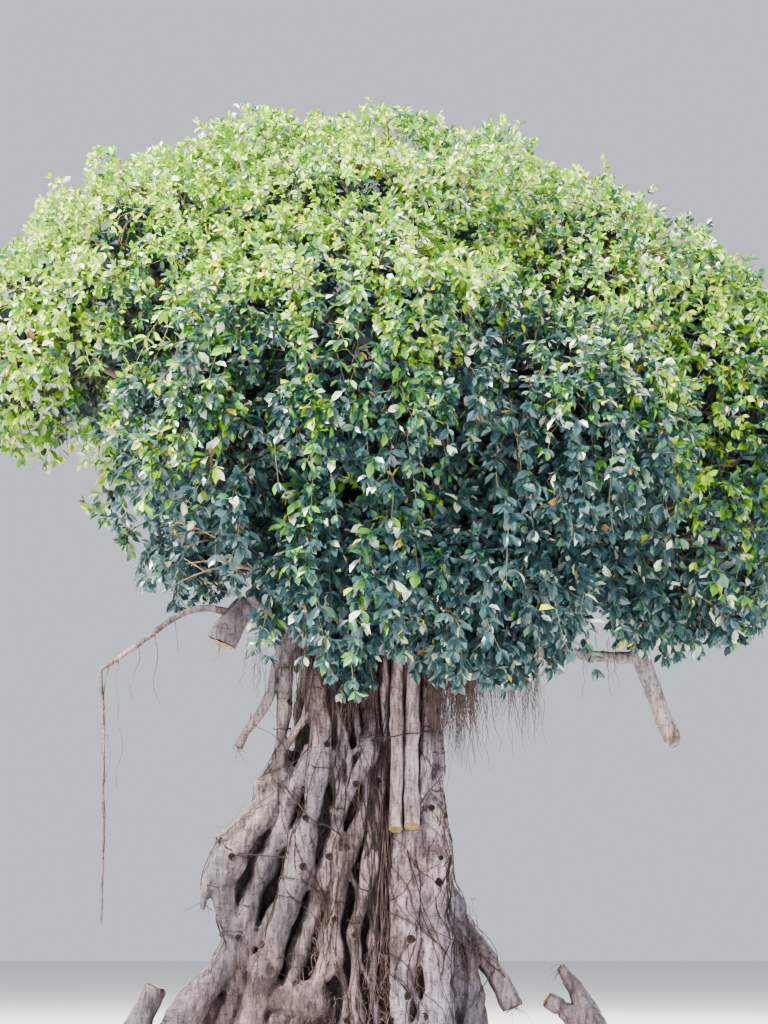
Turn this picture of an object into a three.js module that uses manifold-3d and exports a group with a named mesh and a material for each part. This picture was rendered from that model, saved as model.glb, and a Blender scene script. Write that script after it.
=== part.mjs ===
// A small-leaved banyan: a broad trunk of fused root stems that lean into one head, boughs that fan out
// of it, and a dense, mounded crown that hangs over the trunk. Millimetres, +Z up.
// The origin is on the flat cut at ground level, +X is to the right of the broad side and -Y faces out of it.
import * as THREE from "three";
import { mergeVertices } from "three/addons/utils/BufferGeometryUtils.js";
import Module from "manifold-3d";

const wasm = await Module();
wasm.setup();

// Driving dimensions
const CLEARANCE = 0.35; // left between a piece and the one it grows from
const STEM_GAP = 0.5; // from a bough's tip to the stem that goes on inside its mass
const SMALLEST_STEP = 0.1; // finer detail than this is smoothed away
const BURIED = 60; // length of foot that the ground cut takes off
const HEAD = new THREE.Vector3(-20, 20, 1850); // middle of the trunk's head, where the boughs start
const TRUNK_SIDES = 6;
const BOUGH_SIDES = 6;
const TWIG_SIDES = 3;
const STEP_LENGTH = 330; // length of one straight piece of a root stem

const CORE_SHARE = 0.71; // a foliage core's size as a share of its mass's reach
// A core swells to fill the seam where a neighbour's border is nearer than these shares of its mass's reach
const CORE_SWELL = { from: 1.2, to: 0.85, share: 0.88 };
const CORE_LUMPS = 0.1; // how far the core's surface strays, as a share of its size
const CORE_DETAIL = 1; // splits of each face of the core's icosahedron
const BOUGH_END_SHARE = 0.84; // where a bough enters its mass, as a share of the mass's reach
const SPACE_MARGIN = 9; // half of the gap between two masses
const LIMB_MARGIN = 8; // from a limb to the foliage of any mass

const LEAF_LENGTH = 330; // each blade stands for a spray of leaves
const LEAF_WIDTH = 180;
const LEAF_THICKNESS = 16;
const LEAF_WIDEST = 0.45; // place of the widest point along a blade
const LEAF_HANG = 0.2; // downward share of a blade's direction
const LEAF_SIZES = [1, 0.82, 0.66, 0.5]; // tried in turn until a blade keeps to its mass's space
const TIP_LEAF_PLACE = 0.88; // how far along a twig's outer part its last blade is rooted
const TIP_LEAF_SIZES = [0.8, 0.65, 0.5, 0.38];
const TWIG_RADIUS = 15;
const TWIG_TAPER = [1, 0.9, 0.6]; // a twig's radii from its root to its tip, as shares of TWIG_RADIUS
const TWIG_TIP_SHARE = { from: 0.78, to: 0.85 }; // where a twig ends, as a share of the mass's reach
const TWIG_STATIONS = [0.25, 0.6, 1]; // where a twig's rings are, from the mass's centre to its tip
const TWIG_CREST = { place: 0.55, height: 45 }; // where a twig arches above a straight line, and how far
const INNER_LIMIT = -0.3; // how far back towards the trunk's head the last twig of a mass points
// How far along its twig a whorl starts, the step from blade to blade, and the blades' outward share
const WHORL = { place: 0.85, stagger: 0.06, leaves: 4, rise: 0.1 };
const MASS_SEED = 1000;
const CORE_SEED = 90;

// Root stems on the broad side, each by its stations [x, y, z, radius] from the foot upwards
const FRONT_STEMS = [
  // outer left stem: a splayed foot, a knee that bulges outwards, and a lean into the trunk
  [[-880, -90, -BURIED, 84], [-700, -100, 230, 62], [-552, -95, 450, 48], [-545, -90, 580, 45]],
  [[-546, -90, 540, 45], [-590, -100, 760, 58], [-540, -95, 910, 55], [-330, -45, 1190, 44]],
  // inner left stem, from the ground to the head
  [[-650, -20, -BURIED, 66], [-490, -75, 440, 42], [-400, -70, 950, 38], [-345, -85, 1350, 34],
    [-325, -75, 1610, 33], [-240, -10, 1840, 42]],
  // long middle stem
  [[-540, -70, -BURIED, 78], [-430, -115, 270, 50], [-262, -130, 830, 40], [-213, -120, 1380, 40],
    [-180, -95, 1640, 38], [-100, -20, 1860, 46]],
  // slender stems that close the middle
  [[-430, -90, -BURIED, 52], [-235, -120, 560, 31], [-135, -105, 1080, 30], [-75, -50, 1420, 32]],
  [[-335, -110, -BURIED, 46], [-165, -130, 500, 28], [-90, -120, 900, 27], [0, -60, 1350, 27]],
  [[-110, -150, -BURIED, 38], [-78, -140, 480, 25], [30, -105, 960, 30], [62, -60, 1240, 30]],
  // the two legs of the right stem, one thick column above their fork
  [[135, -160, -BURIED, 58], [116, -155, 190, 43], [150, -130, 580, 72], [155, -100, 1050, 58],
    [132, -75, 1560, 38], [90, -15, 1850, 46]],
  [[300, -140, -BURIED, 72], [276, -135, 200, 53], [242, -118, 620, 76], [225, -90, 1100, 48],
    [205, -70, 1500, 31], [140, -5, 1840, 42]],
  // outer right stem
  [[410, -70, -BURIED, 64], [340, -75, 330, 36], [300, -70, 830, 35], [252, -60, 1270, 31],
    [170, 10, 1830, 38]],
  // low roots right of the trunk
  [[315, -50, 470, 34], [400, -75, 270, 30], [490, -95, -BURIED, 44]],
  [[250, -60, 90, 80], [420, -75, 45, 70], [580, -85, 20, 60]],
];

// Stubs and hanging root ends, each from where it leaves the trunk to its cut or broken end
const STUBS = [
  [[105, -100, 1640, 27], [98, -175, 1320, 25], [92, -200, 925, 25]], // sawn root, left of a pair
  [[165, -100, 1640, 30], [158, -170, 1320, 29], [158, -206, 938, 30]], // sawn root, right of the pair
  [[42, -50, 1720, 20], [50, -120, 1520, 18], [60, -105, 1270, 17]], // slender hanging root
  [[-330, -60, 1700, 25], [-398, -115, 1480, 20], [-455, -120, 1370, 19], [-535, -125, 1250, 18]],
  [[-342, -95, 1260, 12], [-272, -125, 1400, 12], [-212, -120, 1480, 14]], // bridge between two stems
  [[-410, -85, 1020, 28], [-520, -120, 950, 23], [-606, -130, 885, 20]],
  [[-590, -105, 800, 36], [-640, -125, 700, 22], [-662, -128, 610, 9]], // broken flake at the knee
  [[330, -30, 580, 36], [430, -65, 450, 45], [555, -100, 235, 43]], // sawn root right of the trunk
  [[560, -85, 25, 58], [740, -95, 20, 56], [900, -95, -BURIED, 62]], // low root to the forked stump
  [[900, -95, -BURIED, 66], [862, -100, 180, 52], [737, -100, 395, 18]], // tall arm of the forked stump
  [[860, -98, 60, 50], [780, -108, 200, 36], [688, -118, 268, 31]], // short arm of the forked stump
  [[-640, -60, 50, 66], [-800, -90, 15, 54], [-960, -105, -BURIED, 56]], // low root to the left stump
  [[-985, -105, -BURIED, 58], [-930, -105, 100, 50], [-846, -105, 315, 43]], // sawn stump on the left
];

// Thick stems inside the bundle, and the knot that joins all the heads
const CORE_STEMS = [
  [[-360, 60, -BURIED, 200], [-270, 60, 500, 118], [-180, 55, 1100, 100], [-110, 30, 1850, 105]],
  [[0, 50, -BURIED, 180], [10, 60, 500, 112], [10, 55, 1100, 96], [0, 30, 1880, 120]],
  [[240, 40, -BURIED, 160], [225, 40, 500, 108], [190, 40, 1100, 88], [90, 25, 1850, 95]],
  [[-270, 10, 1790, 70], [HEAD.x, HEAD.y, HEAD.z, 135], [200, 15, 1790, 70]],
];

// Root stems round the back, spaced evenly on a half ellipse from the right flank to the left one
const BACK_STEM_COUNT = 9;
const BACK_FOOT = { centre: [-120, 60], half: [520, 290] };
const BACK_WAIST = { centre: [-70, 60], half: [300, 150], height: 700 };
const BACK_HEAD = { centre: [-40, 20], half: [180, 90], height: 1830 };
const BACK_RADII = [66, 42, 38]; // at the foot, the waist and the head
const BACK_SWELL = { from: 0.85, to: 1.15 }; // how thin or thick one stem is beside the others
const BACK_TWIST = 0.25; // widest turn of a stem between its foot and its waist, in radians
const BACK_SEED = 700;

// Limbs that leave the trunk below the crown, cut or broken off at their ends
const LOW_LIMBS = [
  { name: "limb_right_reach", stations: [[190, -20, 1600, 40], [640, -30, 1640, 27], [1058, -40, 1612, 25]] },
  { name: "limb_right_drop", stations: [[1068, -40, 1655, 38], [1105, -45, 1530, 36], [1150, -45, 1400, 34],
    [1204, -50, 1258, 31]] },
  { name: "root_left_stub", stations: [[-250, 0, 1800, 62], [-470, -30, 1850, 52], [-560, -40, 1760, 58],
    [-600, -45, 1672, 62]] },
  { name: "root_left_reach", stations: [[-560, -40, 1800, 16], [-700, -45, 1810, 14],
    [-1080, -50, 1566, 9]] },
  { name: "root_left_drop", stations: [[-1084, -50, 1556, 9], [-1068, -50, 1180, 7], [-1066, -50, 560, 4]] },
];

// Masses of foliage: each fills an ellipsoid of these half sizes, up to its neighbours
const MASSES = [
  { name: "crown_top", centre: [-60, 20, 3100], reach: [900, 820, 830], twigs: 12 },
  { name: "crown_top_left", centre: [-830, -30, 3030], reach: [620, 680, 720], twigs: 10 },
  { name: "crown_top_right", centre: [830, 40, 2950], reach: [640, 700, 690], twigs: 9 },
  { name: "crown_left", centre: [-1250, 0, 2880], reach: [520, 600, 510], twigs: 7 },
  { name: "crown_right", centre: [1370, 40, 2720], reach: [560, 620, 670], twigs: 7 },
  { name: "crown_right_low", centre: [1180, -80, 2070], reach: [590, 540, 480], twigs: 8 },
  { name: "crown_front", centre: [-80, -640, 2680], reach: [780, 540, 640], twigs: 11 },
  { name: "crown_front_left", centre: [-640, -560, 2330], reach: [480, 460, 480], twigs: 7 },
  { name: "crown_front_right", centre: [700, -560, 2420], reach: [560, 500, 560], twigs: 9 },
  { name: "skirt_front_left", centre: [-560, -480, 1930], reach: [350, 340, 400], twigs: 8 },
  { name: "skirt_front", centre: [-50, -620, 1960], reach: [400, 350, 420], twigs: 9 },
  { name: "skirt_front_right", centre: [430, -560, 1880], reach: [430, 380, 470], twigs: 8 },
  { name: "crown_back", centre: [-40, 700, 2700], reach: [800, 560, 660], twigs: 11 },
  { name: "crown_back_left", centre: [-720, 600, 2430], reach: [540, 500, 560], twigs: 8 },
  { name: "crown_back_right", centre: [740, 620, 2380], reach: [600, 500, 580], twigs: 8 },
  { name: "skirt_back", centre: [-20, 640, 1970], reach: [520, 380, 430], twigs: 8 },
];
const BOUGH_RADII = [46, 20]; // at the trunk and at the mass
const BOUGH_START = 0.04; // where a bough leaves the head, as a share of the way to its mass's centre
const BOUGH_PIECES = 4; // straight pieces in a bough
const STEM_PIECES = 2; // straight pieces in the stem that goes on inside the mass
const STEM_TIP_RADIUS = 18;
const BOUGH_RISE = 0.16; // how far a bough arches above a straight line, as a share of its length

const BARK = new THREE.MeshStandardMaterial({ color: 0xa2968c, roughness: 0.9, metalness: 0 });
const LEAVES = new THREE.MeshStandardMaterial({ color: 0x3f6b3a, roughness: 0.45, metalness: 0 });

/** Random numbers from 0 to 1 that are the same each run. */
function seeded(seed) {
  let state = seed >>> 0;
  return () => {
    state = (state + 0x6d2b79f5) >>> 0;
    let mixed = Math.imul(state ^ (state >>> 15), state | 1);
    mixed = (mixed + Math.imul(mixed ^ (mixed >>> 7), mixed | 61)) ^ mixed;
    return ((mixed ^ (mixed >>> 14)) >>> 0) / 4294967296;
  };
}

/** A closed three.js geometry as a solid that can be joined and cut. */
function toSolid(geometry) {
  const bare = geometry.clone();
  bare.deleteAttribute("normal");
  bare.deleteAttribute("uv");
  const merged = mergeVertices(bare, 1e-3);
  const solid = new wasm.Manifold(new wasm.Mesh({
    numProp: 3,
    vertProperties: new Float32Array(merged.attributes.position.array),
    triVerts: new Uint32Array(merged.index.array),
  }));
  return solid;
}

/** The largest single body of a solid, without loose scraps or slivers, as a three.js geometry. */
function toGeometry(solid) {
  const bodies = solid.decompose().sort((a, b) => b.volume() - a.volume());
  const mesh = bodies[0].simplify(SMALLEST_STEP).getMesh();
  const geometry = new THREE.BufferGeometry();
  geometry.setAttribute("position", new THREE.BufferAttribute(mesh.vertProperties, 3));
  geometry.setIndex(new THREE.BufferAttribute(mesh.triVerts, 1));
  geometry.computeVertexNormals();
  return geometry;
}

/** A limb's centre line and radii, evenly spaced between its stations. */
function limbFrom(stations, stepLength = STEP_LENGTH) {
  const spots = stations.map(([x, y, z]) => new THREE.Vector3(x, y, z));
  const curve = new THREE.CatmullRomCurve3(spots, false, "centripetal");
  const steps = Math.max(2, Math.round(curve.getLength() / stepLength));
  const points = [];
  const radii = [];
  for (let i = 0; i <= steps; i += 1) {
    const place = (i / steps) * (stations.length - 1);
    const from = Math.min(Math.floor(place), stations.length - 2);
    points.push(curve.getPoint(i / steps));
    radii.push(THREE.MathUtils.lerp(stations[from][3], stations[from + 1][3], place - from));
  }
  return { points, radii };
}

/** A tapering round limb along its centre line, with flat ends. */
function limbSolid({ points, radii }, sides, extra = 0) {
  const steps = points.length - 1;
  const geometry = new THREE.CylinderGeometry(1, 1, steps, sides, steps);
  const position = geometry.attributes.position;
  const tangents = points.map((_, i) => new THREE.Vector3().subVectors(
    points[Math.min(i + 1, steps)],
    points[Math.max(i - 1, 0)],
  ).normalize());
  let across = new THREE.Vector3(0, 1, 0);
  if (Math.abs(tangents[0].y) > 0.8) across = new THREE.Vector3(0, 0, 1);
  const frames = tangents.map((tangent) => {
    across = across.clone().addScaledVector(tangent, -across.dot(tangent)).normalize();
    return { across, up: new THREE.Vector3().crossVectors(tangent, across) };
  });
  const spot = new THREE.Vector3();
  for (let i = 0; i < position.count; i += 1) {
    const ring = Math.round(position.getY(i) + steps / 2);
    const { across: side, up } = frames[ring];
    const radius = radii[ring] + extra;
    const past = ring === 0 ? -extra : ring === steps ? extra : 0;
    spot.copy(points[ring])
      .addScaledVector(tangents[ring], past)
      .addScaledVector(side, position.getZ(i) * radius)
      .addScaledVector(up, position.getX(i) * radius);
    position.setXYZ(i, spot.x, spot.y, spot.z);
  }
  return toSolid(geometry);
}

/** A root stem on the flank or back, by its turn round the trunk in radians. */
function backStem(turn, seed) {
  const random = seeded(seed);
  const swell = THREE.MathUtils.lerp(BACK_SWELL.from, BACK_SWELL.to, random());
  const twist = BACK_TWIST * (random() - 0.5);
  const onEllipse = ({ centre, half }, angle) => [
    centre[0] + half[0] * Math.cos(angle),
    centre[1] + half[1] * Math.sin(angle),
  ];
  return [
    [...onEllipse(BACK_FOOT, turn), -BURIED, BACK_RADII[0] * swell],
    [...onEllipse(BACK_WAIST, turn + twist), BACK_WAIST.height, BACK_RADII[1] * swell],
    [...onEllipse(BACK_HEAD, turn), BACK_HEAD.height, BACK_RADII[2]],
  ];
}

const backStems = Array.from({ length: BACK_STEM_COUNT }, (_, i) => backStem(
  (Math.PI * (i + 0.3)) / (BACK_STEM_COUNT - 0.4),
  BACK_SEED + i,
));
const trunkStems = [...FRONT_STEMS, ...STUBS, ...CORE_STEMS, ...backStems];
const trunkLimbs = trunkStems.map((stations) => limbFrom(stations));

/** The fused trunk, cut flat at ground level. extra thickens it, for cutting its neighbours clear. */
function trunkSolid(extra) {
  const stems = trunkLimbs.map((limb) => limbSolid(limb, TRUNK_SIDES, extra));
  return wasm.Manifold.union(stems).trimByPlane([0, 0, 1], -extra);
}

/** How far out a point is in a mass: 0 at its centre, 1 at its outer limit. */
function shareOf(mass, point) {
  return Math.hypot(...["x", "y", "z"].map((axis, i) => (point[axis] - mass.centre[i]) / mass.reach[i]));
}

/** The flat borders of a mass's space: a point p is inside where normal.p is below offset for each. */
function bordersOf(mass) {
  const own = new THREE.Vector3(...mass.centre);
  return MASSES.filter((other) => other !== mass).map((other) => {
    const normal = new THREE.Vector3(...other.centre).sub(own);
    const distance = normal.length();
    normal.normalize();
    const reachAlong = ({ reach: [x, y, z] }) => 1 / Math.hypot(normal.x / x, normal.y / y, normal.z / z);
    const split = (distance * reachAlong(mass)) / (reachAlong(mass) + reachAlong(other));
    return { normal, offset: normal.dot(own) + split - SPACE_MARGIN };
  });
}

/** Whether a point is inside the borders by at least the margin. */
const isInside = (borders, point, margin = 0) => borders.every(
  ({ normal, offset }) => normal.dot(point) < offset - margin,
);

/** Whether a point keeps clear of the surfaces of all the limbs. */
function clearOfLimbs(point, limbs) {
  const foot = new THREE.Vector3();
  const line = new THREE.Line3();
  return limbs.every(({ points, radii }) => points.slice(1).every((end, i) => {
    line.set(points[i], end);
    line.closestPointToPoint(point, true, foot);
    return foot.distanceTo(point) > Math.max(radii[i], radii[i + 1]) + LIMB_MARGIN;
  }));
}

/** The line that carries a mass: a bough from the trunk's head, then a stem on to the mass's centre. */
function carrierOf(mass) {
  const borders = bordersOf(mass);
  const centre = new THREE.Vector3(...mass.centre);
  const start = HEAD.clone().lerp(centre, BOUGH_START);
  const arch = start.clone().lerp(centre, 0.5);
  arch.z += BOUGH_RISE * start.distanceTo(centre);
  const curve = new THREE.QuadraticBezierCurve3(start, arch, centre);
  const step = 0.005;
  let entry = 1;
  const isWithin = (point) => shareOf(mass, point) < BOUGH_END_SHARE
    && isInside(borders, point, BOUGH_RADII[1]);
  while (isWithin(curve.getPoint(entry - step))) entry -= step;
  const length = curve.getLength();
  const sample = (from, to, count, radiusFrom, radiusTo) => ({
    points: Array.from({ length: count + 1 }, (_, i) => curve.getPoint(from + ((to - from) * i) / count)),
    radii: Array.from({ length: count + 1 }, (_, i) => THREE.MathUtils.lerp(radiusFrom, radiusTo, i / count)),
  });
  const after = entry + STEM_GAP / length;
  return {
    bough: sample(0, entry, BOUGH_PIECES, BOUGH_RADII[0], BOUGH_RADII[1]),
    stem: sample(after, 1, STEM_PIECES, BOUGH_RADII[1], STEM_TIP_RADIUS),
  };
}

/** The dense middle of a mass: a lumpy ball that swells towards its neighbours, up to its borders. */
function coreSolid(mass, borders, random) {
  const geometry = new THREE.IcosahedronGeometry(1, CORE_DETAIL);
  const merged = mergeVertices(toPositions(geometry), 1e-4);
  const position = merged.attributes.position;
  const centre = new THREE.Vector3(...mass.centre);
  const direction = new THREE.Vector3();
  for (let i = 0; i < position.count; i += 1) {
    direction.fromBufferAttribute(position, i).multiply(new THREE.Vector3(...mass.reach));
    const room = Math.min(...borders.map(({ normal, offset }) => {
      const slope = normal.dot(direction);
      return slope > 0 ? (offset - normal.dot(centre)) / slope : Infinity;
    }));
    const swell = THREE.MathUtils.smoothstep(-room, -CORE_SWELL.from, -CORE_SWELL.to);
    const share = THREE.MathUtils.lerp(CORE_SHARE, CORE_SWELL.share, swell);
    const lumpy = share * (1 + CORE_LUMPS * (2 * random() - 1));
    direction.multiplyScalar(Math.min(lumpy, room)).add(centre);
    position.setXYZ(i, direction.x, direction.y, direction.z);
  }
  return toSolid(merged);
}

/** A copy of a geometry that holds only positions. */
function toPositions(geometry) {
  const bare = geometry.clone();
  bare.deleteAttribute("normal");
  bare.deleteAttribute("uv");
  return bare;
}

/** A thin pointed blade of eight faces, rooted on its twig's axis. null where it can't keep to its space. */
function leafSolid(root, direction, facing, size, allowed) {
  const along = direction.clone().normalize();
  const across = new THREE.Vector3().crossVectors(along, facing).normalize();
  const out = new THREE.Vector3().crossVectors(across, along).normalize();
  const place = (forward, sideways, outward) => root.clone()
    .addScaledVector(along, forward * LEAF_LENGTH * size)
    .addScaledVector(across, sideways * LEAF_WIDTH * size)
    .addScaledVector(out, outward * LEAF_THICKNESS * size);
  const corners = [place(0, 0, 0), place(LEAF_WIDEST, -0.5, 0), place(1, 0, 0), place(LEAF_WIDEST, 0.5, 0)];
  const middles = [place(LEAF_WIDEST, 0, 0.5), place(LEAF_WIDEST, 0, -0.5)];
  if (![...corners, ...middles].every((point) => allowed(point))) return null;
  const flat = [...corners, ...middles].flatMap((point) => point.toArray());
  const faces = [[0, 1, 4], [1, 2, 4], [2, 3, 4], [3, 0, 4], [1, 0, 5], [2, 1, 5], [3, 2, 5], [0, 3, 5]];
  const geometry = new THREE.BufferGeometry();
  geometry.setAttribute("position", new THREE.BufferAttribute(new Float32Array(flat), 3));
  geometry.setIndex(faces.flat());
  const solid = toSolid(geometry);
  return solid.volume() > 0 ? solid : toSolid(flipped(geometry));
}

/** The same faces turned the other way out. */
function flipped(geometry) {
  const turned = geometry.clone();
  const index = turned.index.array;
  for (let i = 0; i < index.length; i += 3) [index[i], index[i + 1]] = [index[i + 1], index[i]];
  return turned;
}

/** A twig that arches out of the mass's centre and droops at its end. */
function twigPath(start, end) {
  const middle = start.clone().lerp(end, TWIG_CREST.place);
  middle.z += TWIG_CREST.height;
  const curve = new THREE.QuadraticBezierCurve3(start, middle, end);
  return TWIG_STATIONS.map((t) => curve.getPoint(t));
}

/** The tip of a mass's i-th twig, on a golden-angle spiral round the mass's outermost point. */
function twigTip(mass, massIndex, i) {
  const random = seeded(MASS_SEED * (massIndex + 1) + i);
  const centre = new THREE.Vector3(...mass.centre);
  const outward = centre.clone().sub(HEAD).normalize();
  const across = new THREE.Vector3(outward.z, 0, -outward.x).normalize();
  const up = new THREE.Vector3().crossVectors(outward, across);
  const height = 1 - ((1 - INNER_LIMIT) * (i + 0.3)) / mass.twigs;
  const angle = i * Math.PI * (3 - Math.sqrt(5)) + massIndex;
  const ring = Math.sqrt(1 - height * height);
  const direction = outward.clone().multiplyScalar(height)
    .addScaledVector(across, ring * Math.cos(angle))
    .addScaledVector(up, ring * Math.sin(angle));
  const share = THREE.MathUtils.lerp(TWIG_TIP_SHARE.from, TWIG_TIP_SHARE.to, random());
  const tip = direction.clone().multiply(new THREE.Vector3(...mass.reach)).multiplyScalar(share).add(centre);
  return { direction, tip, random };
}

/** The twigs and blades of a mass: each twig carries one whorl of blades, and one more at its tip. */
function sprayPieces(mass, massIndex, borders, limbs) {
  const centre = new THREE.Vector3(...mass.centre);
  const allowed = (point, margin = 0) => isInside(borders, point, margin)
    && shareOf(mass, point) < 1
    && clearOfLimbs(point, limbs);
  const pieces = [];
  for (let i = 0; i < mass.twigs; i += 1) {
    const { direction, tip, random } = twigTip(mass, massIndex, i);
    const points = twigPath(centre, tip);
    if (!points.every((point) => allowed(point, TWIG_RADIUS))) continue;
    pieces.push(limbSolid({ points, radii: TWIG_TAPER.map((share) => share * TWIG_RADIUS) }, TWIG_SIDES));
    const side = new THREE.Vector3(-direction.y, direction.x, 0.01).normalize();
    side.addScaledVector(direction, -side.dot(direction)).normalize();
    const addLeaf = (root, way, facing, sizes) => {
      const leaf = sizes.map((size) => leafSolid(root, way, facing, size, allowed)).find(Boolean);
      if (leaf) pieces.push(leaf);
    };
    const turn = random() * Math.PI * 2;
    for (let k = 0; k < WHORL.leaves; k += 1) {
      const way = side.clone().applyAxisAngle(direction, turn + (k * Math.PI * 2) / WHORL.leaves);
      way.addScaledVector(direction, WHORL.rise);
      way.z -= LEAF_HANG;
      addLeaf(points[1].clone().lerp(tip, WHORL.place - WHORL.stagger * k), way, direction, LEAF_SIZES);
    }
    addLeaf(points[1].clone().lerp(tip, TIP_LEAF_PLACE), direction, side, TIP_LEAF_SIZES);
  }
  return pieces;
}

/** One mass of foliage: its stem, core, twigs and blades in one body, clear of every limb. */
function massSolid(mass, index, carrier, limbs, thickLimbs) {
  const borders = bordersOf(mass);
  const core = coreSolid(mass, borders, seeded(CORE_SEED + index));
  const pieces = [core, limbSolid(carrier.stem, BOUGH_SIDES), ...sprayPieces(mass, index, borders, limbs)];
  return wasm.Manifold.union(pieces).subtract(thickLimbs);
}

function addMesh(group, name, solid, material) {
  const mesh = new THREE.Mesh(toGeometry(solid), material);
  mesh.name = name;
  group.add(mesh);
}

const tree = new THREE.Group();
tree.name = "banyan_tree";
addMesh(tree, "trunk", trunkSolid(0), BARK);

// Each limb is cut clear of the trunk and of the limbs before it, which are kept a little thicker for that.
let taken = trunkSolid(CLEARANCE);
const limbs = [...trunkLimbs];

/** Adds one limb to the tree, cut clear of everything that is already there. */
function growLimb(name, limb, sides) {
  addMesh(tree, name, limbSolid(limb, sides).subtract(taken), BARK);
  taken = taken.add(limbSolid(limb, sides, CLEARANCE));
  limbs.push(limb);
}

LOW_LIMBS.forEach(({ name, stations }) => growLimb(name, limbFrom(stations), BOUGH_SIDES));
const carriers = MASSES.map(carrierOf);
MASSES.forEach(({ name }, i) => growLimb(`bough_${name}`, carriers[i].bough, BOUGH_SIDES));
MASSES.forEach((mass, i) => addMesh(tree, mass.name, massSolid(mass, i, carriers[i], limbs, taken), LEAVES));

export default tree;
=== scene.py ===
"""The looks of a small-leaved banyan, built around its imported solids: bark with relief on one fused trunk,
boughs, twigs that branch down to leafy shoots, hanging roots, and leaves dealt out in sprays. Tables are in
millimetres and scaled by MM; everything made from them is in metres, +Z up, with -Y out of the broad side."""

import math

import bmesh
import bpy
import numpy as np
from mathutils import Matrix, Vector, noise
from mathutils.bvhtree import BVHTree


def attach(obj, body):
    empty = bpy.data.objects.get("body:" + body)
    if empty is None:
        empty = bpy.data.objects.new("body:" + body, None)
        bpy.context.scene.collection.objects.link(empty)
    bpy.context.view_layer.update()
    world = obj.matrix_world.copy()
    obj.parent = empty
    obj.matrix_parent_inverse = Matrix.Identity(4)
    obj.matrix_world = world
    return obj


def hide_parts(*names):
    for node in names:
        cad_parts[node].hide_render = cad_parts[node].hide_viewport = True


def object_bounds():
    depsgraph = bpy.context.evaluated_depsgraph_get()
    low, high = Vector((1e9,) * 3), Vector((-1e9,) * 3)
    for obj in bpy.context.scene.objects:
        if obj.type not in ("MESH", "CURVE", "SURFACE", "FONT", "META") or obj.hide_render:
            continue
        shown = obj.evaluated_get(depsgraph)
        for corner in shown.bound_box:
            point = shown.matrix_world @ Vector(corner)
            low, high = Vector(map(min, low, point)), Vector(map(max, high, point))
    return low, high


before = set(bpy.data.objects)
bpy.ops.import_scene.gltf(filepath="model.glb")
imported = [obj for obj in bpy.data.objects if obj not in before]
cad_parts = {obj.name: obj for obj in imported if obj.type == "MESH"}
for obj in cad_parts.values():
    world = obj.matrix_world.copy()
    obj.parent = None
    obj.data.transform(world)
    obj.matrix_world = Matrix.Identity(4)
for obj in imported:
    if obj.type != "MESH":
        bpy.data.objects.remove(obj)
cad_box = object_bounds()

MM = 0.001
UP = np.array([0.0, 0.0, 1.0])
GOLDEN_ANGLE = math.pi * (3 - math.sqrt(5))
NOISE_SEED = 7
noise.seed_set(NOISE_SEED)

# Camera, at the photograph's place and angle
PHOTO_HEIGHT = 1024
FOCAL_PIXELS = 3000
CAMERA_PLACE = (0.048, -12.0, 0.496)
CAMERA_PITCH = math.radians(8.12)

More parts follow.
